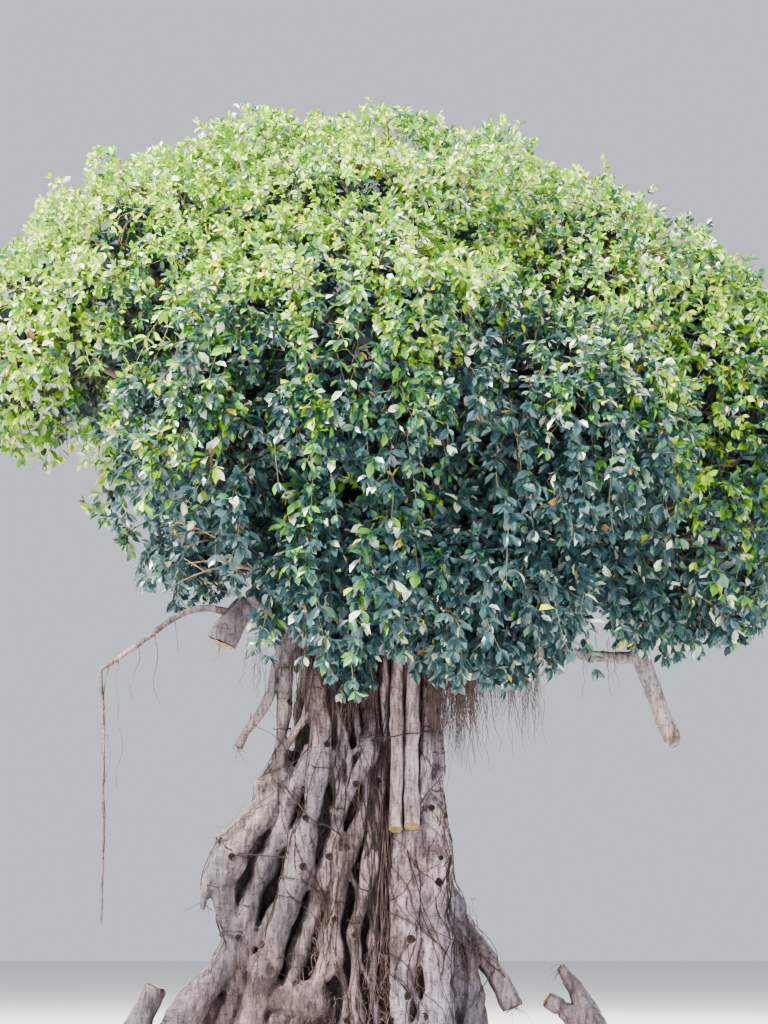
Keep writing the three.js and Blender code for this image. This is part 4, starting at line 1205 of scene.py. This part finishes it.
def build_trunk(bark):
    """The trunk's stems and the thick low limbs, fused into one skin."""
    stems = FRONT_STEMS + STUBS + CROSS_STEMS + CORE_STEMS + FILLING_STEMS + BACK_STEMS
    winders = [winding_stem(WINDERS["seed"] + i) for i in range(WINDERS["count"])]
    trunk = fused_wood("trunk_skin", stems + [RIGHT_REACH, RIGHT_DROP, LEFT_STUB] + winders)
    trunk.data.materials.clear()
    trunk.data.materials.append(bark)
    return finished(trunk, "bark", "trunk", "limb_right_reach", "limb_right_drop", "root_left_stub")


def build_sawn_pair(bark, wood):
    """The two smooth roots that hang in front, each sawn off square."""
    body = bmesh.new()
    for seed, stations in enumerate(SAWN_PAIR):
        rows, faces = fluted_tube(stations, seed + 60)
        for row in rows[-len(faces[-1]):]:
            row[2] += SAW_SLANT * (stations[-1][1] * MM - row[1])
        corners = [body.verts.new(row) for row in rows]
        for face in faces:
            made = body.faces.new([corners[i] for i in face])
            made.smooth = len(face) == 4
            made.material_index = 0 if len(face) == 4 else 1
    mesh = bpy.data.meshes.new("sawn_roots")
    body.to_mesh(mesh)
    body.free()
    mesh.materials.append(bark)
    mesh.materials.append(wood)
    return finished(linked("sawn_roots", mesh), "bark", "trunk")


CUT_STEMS = [STUBS[place] for place in (1, 3, 5, 8, 10)] + [LEFT_STUB]
CUT_SIDES = 18
CUT_RINGS = (0.0, 0.35, 0.7, 0.93)  # as shares of the end's radius


def build_cut_ends(wood):
    """A rough pale face on the end of each cut root: a shallow bowl with split rings."""
    parts = []
    for seed, stations in enumerate(CUT_STEMS):
        line, radii = limb_line(stations, 0.02)
        aim = normalized(line[-1] - line[-3])
        side = normalized(np.cross(aim, [0.3, 0.9, 0.1]))
        other = np.cross(aim, side)
        corners = []
        for ring in CUT_RINGS:
            for k in range(CUT_SIDES):
                turn = 2 * math.pi * k / CUT_SIDES
                rough = noise.noise(Vector((math.cos(turn) * 2, math.sin(turn) * 2, ring * 3 + seed * 5)))
                width = radii[-1] * ring * (1 + 0.08 * rough)
                lift = 0.004 + 0.005 * rough * ring
                across = side * math.cos(turn) + other * math.sin(turn)
                corners.append(line[-1] + aim * lift + across * width)
        parts.append((np.array(corners), ring_faces(len(CUT_RINGS), CUT_SIDES)))
    return bark_piece("cut_ends", joined(parts), wood)


# Where rootlets hang from the thin left root: the place along it, and the drop in metres
REACH_ROOTLETS = [(0.42, 0.16), (0.60, 0.30), (0.74, 0.22), (0.86, 0.52), (0.95, 0.68)]
ROOTLET_STEPS = 24
ROOTLET_RADII = (0.0020, 0.0010)


def build_slender_roots(bark):
    """The thin root that runs out on the left, the one that hangs from its end, and its rootlets."""
    parts = []
    for stations in (LEFT_REACH, LEFT_DROP):
        line, radii = limb_line(stations, STEM_STEP)
        line = wandering(line, 9, 0.006)
        parts.append(tubes(line[None], radii[None], 8))
        if stations is LEFT_REACH:
            reach = line
    for place, drop in REACH_ROOTLETS:
        fall = np.linspace(0, drop, ROOTLET_STEPS)
        start = reach[round(place * (len(reach) - 1))]
        sway = np.array([noise.noise_vector(Vector((step * 6, place * 9, 2.5))) for step in fall])
        sway = (sway - sway[0]) * [0.05, 0.015, 0]
        rootlet = start + sway - UP * fall[:, None]
        parts.append(tubes(rootlet[None], tapering(rootlet[None], ROOTLET_RADII), 8))
    return bark_piece("slender_roots", joined(parts), bark, "root_left_reach", "root_left_drop")


def build_boughs(bark):
    """One tapering bough to each mass."""
    paths = np.array([carrier_of(i)[0] for i in range(len(MASSES))])
    nodes = [f"bough_{mass[0]}" for mass in MASSES]
    return bark_piece("boughs", tubes(paths, tapering(paths, BOUGH_RADII), 12), bark, *nodes)


RINGS = [  # a front stem's place in its list, the height of a dark ring round it, and its slope
    (2, 1330, 0.1), (2, 1560, -0.2), (12, 1230, 0.15), (12, 1080, 0.1), (4, 712, -0.35), (4, 650, -0.25),
    (4, 1180, 0.3), (0, 410, -0.1), (0, 425, 0.1), (0, 520, -0.15), (1, 860, 0.4), (1, 720, 0.2),
    (5, 700, 0.3), (6, 640, -0.2), (10, 1240, 0.2), (11, 1180, -0.1), (4, 1483, 0.1), (8, 700, 0.4),
    (5, 1000, -0.3), (12, 397, 0.05), (3, 640, 0.3), (8, 560, -0.2), (13, 1330, 0.1),
]
RING_RADIUS = 0.0019
CROSSING_RADIUS = 2.8  # millimetres
CROSSINGS = [  # thin dark roots that run straight across several stems: points in metres
    [(0.000, -0.130, 1.280), (0.050, -0.206, 1.286), (0.098, -0.230, 1.291), (0.165, -0.230, 1.300),
     (0.220, -0.186, 1.306), (0.275, -0.118, 1.310)],
    [(-0.53, -0.150, 0.840), (-0.48, -0.160, 0.830), (-0.41, -0.150, 0.824), (-0.345, -0.150, 0.818),
     (-0.27, -0.190, 0.812)],
    [(-0.36, -0.125, 1.120), (-0.30, -0.150, 1.040), (-0.235, -0.175, 0.965), (-0.16, -0.160, 0.930),
     (-0.09, -0.158, 0.86)],
]


def build_rings(root_bark):
    """Thin old root rings that grip single stems, and thin roots that cross several."""
    paths = []
    turn = np.linspace(0, 2 * math.pi, 31)
    for seed, (stem, height, slope) in enumerate(RINGS):
        line, radii = limb_line(FRONT_STEMS[stem], 0.01)
        at = int(np.argmin(np.abs(line[:, 2] - height * MM)))
        across, up = across_of(line[None])
        girth = radii[at] * 1.10 + 0.0015
        wave = np.array([noise.noise(Vector((math.cos(a) * 2, math.sin(a) * 2, seed * 3.3))) for a in turn])
        ring = across[0, at] * np.cos(turn)[:, None] + up[0, at] * np.sin(turn)[:, None]
        paths.append(line[at] + ring * girth * (1 + 0.04 * wave)[:, None]
                     + UP * (slope * girth * np.cos(turn) + 0.01 * wave)[:, None])
    paths = np.array(paths)
    parts = [tubes(paths, np.full(paths.shape[:2], RING_RADIUS), 5)]
    for points in CROSSINGS:
        stations = [(*(np.array(point) / MM), CROSSING_RADIUS) for point in points]
        line, radii = limb_line(stations, 0.01)
        line = wandering(line, 14, 0.006)
        parts.append(tubes(line[None], radii[None], 5))
    return bark_piece("root_rings", joined(parts), root_bark)


SCAR_SIDES = 12
# A crater's rings from the outside in: how far out and how high, as shares of its radius
SCAR_PROFILE = ((1.12, 0.35), (0.92, 0.86), (0.72, 0.74), (0.50, 0.50), (0.28, 0.30), (0.02, 0.20))
SCAR_SEARCH = 1.8  # how far round a scar its faces are averaged, in radii


def build_scars(trunk, scar_bark):
    """A low dark crater on each old scar of the trunk."""
    skin = skin_of(trunk.data)
    turn = np.linspace(0, 2 * math.pi, SCAR_SIDES, endpoint=False)
    circle = np.stack([np.cos(turn), np.sin(turn), turn * 0], axis=1)
    parts = []
    for seed, (x, y, z, radius) in enumerate(scar_places(trunk.data)):
        spot = Vector((x, y, z))
        near = skin.find_nearest_range(spot, SCAR_SEARCH * radius)
        normal = sum((hit[1] for hit in near), Vector()).normalized()
        side = normal.orthogonal().normalized()
        across, up, out = np.array(side), np.array(normal.cross(side)), np.array(normal)
        uneven = 1 + 0.22 * noise_at(circle, 1.4, 3.1 * seed)
        ring = across * np.cos(turn)[:, None] + up * np.sin(turn)[:, None]
        corners = [
            np.array(spot) + ring * (reach * radius * uneven)[:, None] + out * height * radius
            for reach, height in SCAR_PROFILE
        ]
        parts.append((np.vstack(corners), ring_faces(len(SCAR_PROFILE), SCAR_SIDES)))
    return bark_piece("bark_scars", joined(parts), scar_bark)


CLIMBERS = {"seed": 53, "count": 520, "steps": 24, "radii": (0.0008, 0.0024), "heights": (0.05, 1.55),
            "rises": (0.25, 0.7), "front_share": 0.62, "reach": 1.4, "steepest": 0.05, "lean": 0.55,
            "wander": 0.10, "between": (0.02, 1.66), "nearest": 0.08}


def build_climbers(trunk, root_bark):
    """Thin dark rootlets that cross the stems and bridge the gaps between them."""
    skin = skin_of(trunk.data)
    random = np.random.default_rng(CLIMBERS["seed"])
    far = CLIMBERS["reach"]
    track = np.linspace(0, 1, CLIMBERS["steps"])
    middle = Vector((TRUNK_MIDDLE, 0.0, 0))
    paths = []
    radii = []
    for _ in range(CLIMBERS["count"]):
        facing_front = random.random() < CLIMBERS["front_share"]
        turn = random.uniform(-math.pi, 0) if facing_front else random.uniform(0, math.pi)
        height = random.uniform(*CLIMBERS["heights"])
        lean = random.normal(0, CLIMBERS["lean"])
        climb = random.uniform(*CLIMBERS["rises"]) * (1 if random.random() < 0.5 else -1)
        radius = random.uniform(*CLIMBERS["radii"])
        drift = random.uniform(0, 40)
        wander = np.array([noise.noise(Vector((t * 4, drift, 0))) for t in track])
        turns = turn + lean * track + CLIMBERS["wander"] * wander
        heights = np.clip(height + climb * track, *CLIMBERS["between"])
        reach = []
        for a, z in zip(turns, heights):
            out = Vector((math.cos(a), math.sin(a), 0))
            hit = skin.ray_cast(middle + Vector((0, 0, z)) + out * far, -out)
            reach.append(far - hit[3] if hit[0] else 0.0)
        reach = np.array(reach)
        reach = np.max([np.roll(reach, shift) for shift in (-1, 0, 1)], axis=0)[1:-1]
        reach = np.convolve(np.pad(reach, 2, mode="edge"), [0.1, 0.2, 0.4, 0.2, 0.1], mode="valid")
        if reach.min() < CLIMBERS["nearest"] or np.abs(np.diff(reach)).max() > CLIMBERS["steepest"]:
            continue
        turns, heights = turns[1:-1], heights[1:-1]
        reach = reach + 0.5 * radius
        path = [TRUNK_MIDDLE + reach * np.cos(turns), reach * np.sin(turns), heights]
        paths.append(np.stack(path, axis=1))
        radii.append(radius * np.linspace(1, 0.5, len(reach)))
    return bark_piece("climbing_roots", tubes(np.array(paths), np.array(radii), 3), root_bark)


CURTAINS = [  # hanging roots: low and high corner of where they start, their lengths and their count
    ((0.22, -0.22, 1.56), (0.42, -0.06, 1.70), (0.18, 0.56), 420),
    ((0.34, -0.26, 1.56), (0.66, -0.04, 1.70), (0.12, 0.42), 280),
    ((0.00, -0.11, 1.15), (0.07, -0.07, 1.70), (0.40, 0.85), 60),
    ((0.035, -0.17, 0.60), (0.075, -0.12, 1.05), (0.35, 0.85), 44),
    # Real dead roots, massed thick and dark here as painted shade where the crown shades the trunk's top
    ((-0.17, -0.14, 1.50), (0.02, -0.08, 1.74), (0.10, 0.36), 170),
    ((0.60, -0.20, 1.60), (1.00, -0.02, 1.72), (0.06, 0.26), 26),
    ((-0.52, -0.22, 1.55), (-0.20, -0.10, 1.72), (0.06, 0.26), 30),
    ((-0.35, 0.12, 1.55), (0.30, 0.24, 1.72), (0.10, 0.60), 80),
]
CURTAIN = {"seed": 71, "lean": 0.05, "most_lean": 0.08, "bow": 1.3, "curl": 0.006}
TANGLES = [  # dead roots matted in the trunk's folds: centre and reach in metres, and their count
    ((0.015, -0.145, 0.26), (0.060, 0.035, 0.26), 130),
    ((-0.155, -0.120, 0.14), (0.055, 0.040, 0.16), 60),
    ((-0.235, -0.130, 0.46), (0.040, 0.030, 0.20), 40),
    ((0.370, -0.115, 0.50), (0.035, 0.030, 0.16), 44),
    ((-0.010, -0.115, 1.15), (0.060, 0.030, 0.14), 40),
    ((0.135, -0.175, 0.42), (0.040, 0.020, 0.12), 26),
]
TANGLE = {"step": 0.016, "sink": 0.022, "spread": (0.8, 0.45, 1.2)}
TANGLE_STEPS = 9
DEAD_ROOT = {"lowest": 0.004, "radii": (0.0008, 0.0022), "tip": 0.45}


def build_curtains(fibre):
    """Fine dead aerial roots that hang under the crown and down the trunk's folds."""
    random = np.random.default_rng(CURTAIN["seed"])
    paths = []
    for low, high, lengths, count in CURTAINS:
        starts = random.uniform(low, high, (count, 3))
        drop = random.uniform(*lengths, count) * random.uniform(0.5, 1, count)
        t = np.linspace(0, 1, TANGLE_STEPS)
        lean = random.normal(0, CURTAIN["lean"], (count, 3))
        lean = np.clip(lean, -CURTAIN["most_lean"], CURTAIN["most_lean"]) * [1, 0.4, 0]
        bow = (t ** CURTAIN["bow"])[None, :, None]
        path = starts[:, None] + lean[:, None] * bow * drop[:, None, None] * 2
        path = path - UP * (t[None, :, None] * drop[:, None, None])
        curl = random.normal(0, CURTAIN["curl"], path.shape) * t[None, :, None]
        paths.append(path + curl)
    for centre, reach, count in TANGLES:
        starts = np.array(centre) + np.array(reach) * normalized(random.normal(0, 1, (count, 3))) * 0.9
        steps = random.normal(0, TANGLE["step"], (count, TANGLE_STEPS, 3))
        steps = steps - UP * random.uniform(0, TANGLE["sink"], (count, 1, 1))
        path = starts[:, None] + np.cumsum(steps * TANGLE["spread"], axis=1)
        path[..., 1] = np.clip(path[..., 1], centre[1] - reach[1], centre[1] + reach[1])
        paths.append(path)
    paths = np.concatenate(paths)
    paths[..., 2] = np.maximum(paths[..., 2], DEAD_ROOT["lowest"])
    thick = random.uniform(*DEAD_ROOT["radii"], len(paths))
    radii = thick[:, None] * np.linspace(1, DEAD_ROOT["tip"], paths.shape[1])[None]
    return bark_piece("hanging_roots", tubes(paths, radii, 3), fibre)


FRINGES = [  # where fine rootlets sprout from a root's end, in millimetres
    (-606, -130, 885), (-535, -125, 1250), (-662, -128, 640), (60, -105, 1275), (555, -100, 240),
    (737, -100, 392), (-520, -120, 945), (-600, -45, 1680),
]
FRINGE_COUNT = 9  # rootlets in a tuft
FRINGE = {"seed": 83, "spread": 0.008, "lengths": (0.03, 0.10), "bend": 0.015, "radii": (0.0013, 0.0005)}


def build_fringes(fibre):
    """Tufts of fine rootlets at the ends of broken roots."""
    random = np.random.default_rng(FRINGE["seed"])
    starts = np.repeat(np.array(FRINGES) * MM, FRINGE_COUNT, axis=0)
    starts = starts + random.normal(0, FRINGE["spread"], starts.shape)
    aim = random.normal(0, 1, starts.shape) * [1, 0.5, 0.5] - [0, 0.2, 0.9]
    ends = starts + normalized(aim) * random.uniform(*FRINGE["lengths"], (len(starts), 1))
    middles = (starts + ends) / 2 + random.normal(0, FRINGE["bend"], starts.shape)
    paths = bezier(starts, middles, ends, 7)
    return bark_piece("root_fringes", tubes(paths, tapering(paths, FRINGE["radii"]), 3), fibre)


def light_at(roots, out):
    """The painted light of a leaf's kind, by its place and the way the crown faces there."""
    x, y, z = roots.T
    light = HEIGHT_LIGHT["gain"] * (z - HEIGHT_LIGHT["none_at"])
    light = light - ACROSS_LIGHT["loss"] * np.clip(x, *ACROSS_LIGHT["between"])
    light = light + HEIGHT_LIGHT["facing_up"] * out[:, 2]
    light = light + LEFT_FLANK["light"] * rise(-x, LEFT_FLANK["start"], LEFT_FLANK["width"])
    light = light + RIGHT_FLANK["light"] * rise(x, RIGHT_FLANK["start"], RIGHT_FLANK["width"])
    shade = FRONT_SHADE
    shaded = shade["least"] + shade["more"] * rise(x, *shade["right"])
    light = light - shaded * rise(-y, *shade["front"]) * rise(-z, -shade["top"], shade["below"])
    aside, above = (x - DIM_PATCH["x"]) / DIM_PATCH["reach"], (z - DIM_PATCH["z"]) / DIM_PATCH["reach"]
    light = light - DIM_PATCH["loss"] * np.exp(-(aside**2) - above**2)
    return np.minimum(light, BRIGHTEST - ACROSS_LIGHT["loss_of_most"] * x)


def leaf_kinds_of(roots, out, youth, painted_spray_light, random):
    """Deals each leaf its kind: painted light by its place, brighter on young tips, with a few pale ones that
    are partly painted glints, and a few gold and rust.
    """
    light = light_at(roots, out) + painted_spray_light
    light = light + YOUNG_LIGHT * youth + random.normal(0, LEAF_WHIM, len(roots))
    names = np.array(["deep", "mid", "fresh", "lime"], dtype=object)
    kinds = names[np.searchsorted(LEAF_LIGHT, light)]
    least, more, most = PALE_AND_GLINT_SHARE
    flank = rise(-roots[:, 0], LEFT_FLANK["start"], LEFT_FLANK["width"])
    pale_and_glint_share = np.clip(least + more * light, least, most) + LEFT_FLANK["pale"] * flank
    kinds[random.random(len(roots)) < pale_and_glint_share] = "pale"
    kinds[random.random(len(roots)) < ODD_SHARES[0] * np.clip(light, 0.1, 1)] = "gold"
    kinds[random.random(len(roots)) < ODD_SHARES[1]] = "rust"
    return kinds


# How each kind of spray bears leaves: how far from its tip, the bounds of how many on a shoot, their length,
# and how far their painted light is lifted: the under sprays and the veil are painted darker as shade, the
# strands brighter as sunlit
FOLIAGE = {
    "outer": (0.26, (3, 6), LEAF_LENGTH, 0.0),
    "under": (0.17, (3, 5), UNDER_LEAF_LENGTH, -0.35),
    "strands": (0.44, (3, 6), 1.04 * LEAF_LENGTH, 0.62),
    "veil": (0.30, (2, 4), LEAF_LENGTH, -0.60),
}
HEART_FOLIAGE = (0.09, (2, 4), HEART_LEAF_LENGTH)
HEART_LEAF_SHARES = (0.45, 0.55)  # of an inner leaf's length: what it always has, and what openness adds
LOOK_BELOW = (0.30, 0.12)  # metres below an inner leaf where openness counts too
# How much darker the leaves in the crown's hollows are dealt: painted shade
HOLLOW_PAINTED_SHADE = 0.35


def grow_crown():
    """Every twig and leaf of the crown, gathered by kind."""
    random = np.random.default_rng(TREE_SEED)
    wood = {"stems": [], "twigs": [], "branchlets": [], "sprays": [], "strands": [], "shoots": []}
    leaves = {kind: [] for kind in LEAF_KINDS}
    heart = []

    def add_leaves(sprays, leafy, per_shoot, size, lift):
        """Shoots and leaves on some sprays; the lift moves their painted light up or down."""
        shoots = shoots_along(sprays, random, leafy)
        wood["shoots"].append(np.stack([shoots[1], shoots[2]], axis=1))
        grown = leaves_on_shoots(sprays, shoots, random, per_shoot, size)
        which, roots, along, facing, lengths, youth = grown
        painted_spray_light = random.normal(lift, SPRAY_WHIM, len(sprays[0]))[which]
        # Painted shade in the crown's hollows
        painted_spray_light = painted_spray_light - HOLLOW_PAINTED_SHADE * hollow_at(roots)
        kinds = leaf_kinds_of(roots, sprays[1][which], youth, painted_spray_light, random)
        for kind in LEAF_KINDS:
            chosen = kinds == kind
            leaves[kind].append([part[chosen] for part in (roots, along, facing, lengths)])

    for index in range(len(MASSES)):
        stem = carrier_of(index)[1]
        twigs = first_twigs(index)
        carriers = np.vstack([twigs[:, 4:].reshape(-1, 3), stem[-4:]])
        branchlets, _, _ = branch_out(index, random, BRANCHLETS, carriers)
        carriers = np.vstack([branchlets[:, 2:].reshape(-1, 3), twigs[:, 8:].reshape(-1, 3)])
        wood["stems"].append(stem)
        wood["twigs"].append(twigs)
        wood["branchlets"].append(branchlets)
        outer = branch_out(index, random, OUTER_SPRAYS, carriers)
        under = branch_out(index, random, UNDER_SPRAYS, carriers)
        strands = hanging_strands(index, random, carriers)
        wood["sprays"] += [outer[0], under[0]]
        wood["strands"].append(strands[0])
        add_leaves(outer, *FOLIAGE["outer"])
        add_leaves(under, *FOLIAGE["under"])
        add_leaves(strands, *FOLIAGE["strands"])
        if MASSES[index][0] == "skirt_front":
            veil = trunk_veil(carriers)
        inner = branch_out(index, random, HEART_SPRAYS, np.vstack([carriers, twigs[:, 2:].reshape(-1, 3)]))
        wood["sprays"].append(inner[0])
        leafy, per_shoot, size = HEART_FOLIAGE
        shoots = shoots_along(inner, random, leafy)
        grown = leaves_on_shoots(inner, shoots, random, per_shoot, size)
        _, roots, along, facing, lengths, _ = grown
        far, near = [openness(roots - UP * below) for below in LOOK_BELOW]
        open_share = far * near * openness(roots)
        always, added = HEART_LEAF_SHARES
        heart.append([roots, along, facing, lengths * (always + added * open_share)])
    wood["strands"].append(veil[0])
    add_leaves(veil, *FOLIAGE["veil"])
    return wood, leaves, heart


def build_twigs(wood):
    """The crown's twigs, each level joined into its own pieces."""
    bark = twig_material("twig_bark", (0.075, 0.055, 0.044), (0.200, 0.160, 0.120))
    young = twig_material("sprig_bark", (0.190, 0.165, 0.075), (0.400, 0.360, 0.190))
    twigs = np.concatenate(wood["twigs"])
    stems = np.array(wood["stems"])
    parts = [tubes(twigs, tapering(twigs, (TWIG_RADIUS, 0.45 * TWIG_RADIUS)), 6),
             tubes(stems, tapering(stems, (BOUGH_RADII[1], STEM_TIP_RADIUS)), 8)]
    bark_piece("twigs", joined(parts), bark)
    branchlets = np.concatenate(wood["branchlets"])
    bark_piece("branchlets", tubes(branchlets, tapering(branchlets, BRANCHLET_RADII), 3), bark)
    parts = [tubes(paths, tapering(paths, SPRAY_RADII), 3) for paths in wood["sprays"] + wood["strands"]]
    bark_piece("sprays", joined(parts), young)
    shoots = np.concatenate(wood["shoots"])
    bark_piece("shoots", tubes(shoots, np.full(shoots.shape[:2], SHOOT_RADIUS), 3), young)


def build_leaves(leaves, heart):
    """The leaves, each kind in pieces of limited size; together they stand for the masses."""
    nodes = [mass[0] for mass in MASSES]
    random = np.random.default_rng(TREE_SEED + 1)
    for kind, finish in LEAF_KINDS.items():
        material = leaf_material(f"leaf_{kind}", *finish)
        roots, along, facing, lengths = [np.concatenate(parts) for parts in zip(*leaves[kind])]
        pieces = math.ceil(len(roots) / LEAF_PIECE_MOST)
        for part in range(pieces):
            own = slice(part * len(roots) // pieces, (part + 1) * len(roots) // pieces)
            widths = lengths[own] * random.uniform(*LEAF_WIDTHS, len(lengths[own]))
            corners, faces = leaf_mesh(roots[own], along[own], facing[own], lengths[own], widths)
            finished(mesh_object(f"leaves_{kind}_{part + 1}", corners, faces, material), "leaves", *nodes)
    roots, along, facing, lengths = [np.concatenate(parts) for parts in zip(*heart)]
    # The inner leaves are dark blue-black: painted shade of the crown's heart
    material = leaf_material("leaf_heart_painted_shade", (0.022, 0.050, 0.060), 0.5, 0.3)
    corners, faces = leaf_mesh(roots, along, facing, lengths, lengths * HEART_LEAF_WIDTH, plain=True)
    finished(mesh_object("leaves_heart", corners, faces, material), "leaves", *nodes)


FLOOR_HALF = 60.0  # metres


def build_floor():
    """A plain pale floor."""
    material, _, _ = new_material("floor", 0.7, (0.72, 0.71, 0.69))
    corners = FLOOR_HALF * np.array([[-1, -1, 0], [1, -1, 0], [1, 1, 0], [-1, 1, 0]])
    mesh_object("floor", corners, np.array([[0, 1, 2, 3]]), material)


def add_light(name, place, target, size, power, colour):
    """A soft square light that looks at a point."""
    lamp = bpy.data.lights.new(name, "AREA")
    lamp.size = size
    lamp.energy = power
    lamp.color = colour
    light = bpy.data.objects.new(name, lamp)
    light.location = place
    light.rotation_euler = (Vector(target) - Vector(place)).to_track_quat("-Z", "Y").to_euler()
    bpy.context.scene.collection.objects.link(light)


def build_lights():
    """Soft studio light: a warm key from high on the left, a dim cool fill, and a pale surround."""
    add_light("key", (-5.6, -4.2, 9.5), (0, 0, 2.4), 2.0, 6800, (1.0, 0.96, 0.88))
    add_light("fill", (6.5, -8.0, 4.0), (0, 0, 1.8), 5.0, 800, (0.88, 0.93, 1.0))
    add_light("sky", (2.5, 0.8, 10.0), (0.3, 0, 2.6), 5.0, 2000, (0.97, 0.98, 1.0))
    add_light("back", (2.0, 7.5, 6.5), (0, 0, 2.6), 3.0, 1400, (1.0, 0.98, 0.94))
    world = bpy.data.worlds.new("surround")
    world.use_nodes = True
    shade = world.node_tree.nodes["Background"]
    shade.inputs["Color"].default_value = (0.78, 0.83, 0.92, 1)
    shade.inputs["Strength"].default_value = 0.95
    bpy.context.scene.world = world


def build_camera():
    """The photograph's framing: its focal length in pixels, its height and its tilt."""
    lens = bpy.data.cameras.new("camera")
    lens.sensor_width = 36.0
    lens.lens = FOCAL_PIXELS / PHOTO_HEIGHT * lens.sensor_width
    camera = bpy.data.objects.new("camera", lens)
    camera.location = CAMERA_PLACE
    camera.rotation_euler = (math.pi / 2 + CAMERA_PITCH, 0, 0)
    bpy.context.scene.collection.objects.link(camera)
    bpy.context.scene.camera = camera


build_camera()
build_floor()
build_lights()
bark = bark_material("bark", (0.120, 0.080, 0.072), (0.335, 0.256, 0.240), (0.262, 0.242, 0.280))
smooth_bark = bark_material(
    "smooth_bark", (0.200, 0.145, 0.128), (0.295, 0.230, 0.206), (0.255, 0.222, 0.228))
wood = cut_wood_material()
root_bark = twig_material("root_bark", (0.014, 0.009, 0.008), (0.052, 0.034, 0.026))
scar_bark = twig_material("scar_bark", (0.007, 0.004, 0.003), (0.034, 0.019, 0.013))
fibre = twig_material("root_fibre", (0.070, 0.042, 0.046), (0.190, 0.125, 0.110))
trunk = build_trunk(bark)
build_sawn_pair(smooth_bark, wood)
build_cut_ends(wood)
build_slender_roots(bark)
build_boughs(bark)
build_scars(trunk, scar_bark)
build_rings(root_bark)
build_climbers(trunk, root_bark)
build_curtains(fibre)
build_fringes(fibre)
crown_wood, crown_leaves, crown_heart = grow_crown()
build_twigs(crown_wood)
build_leaves(crown_leaves, crown_heart)
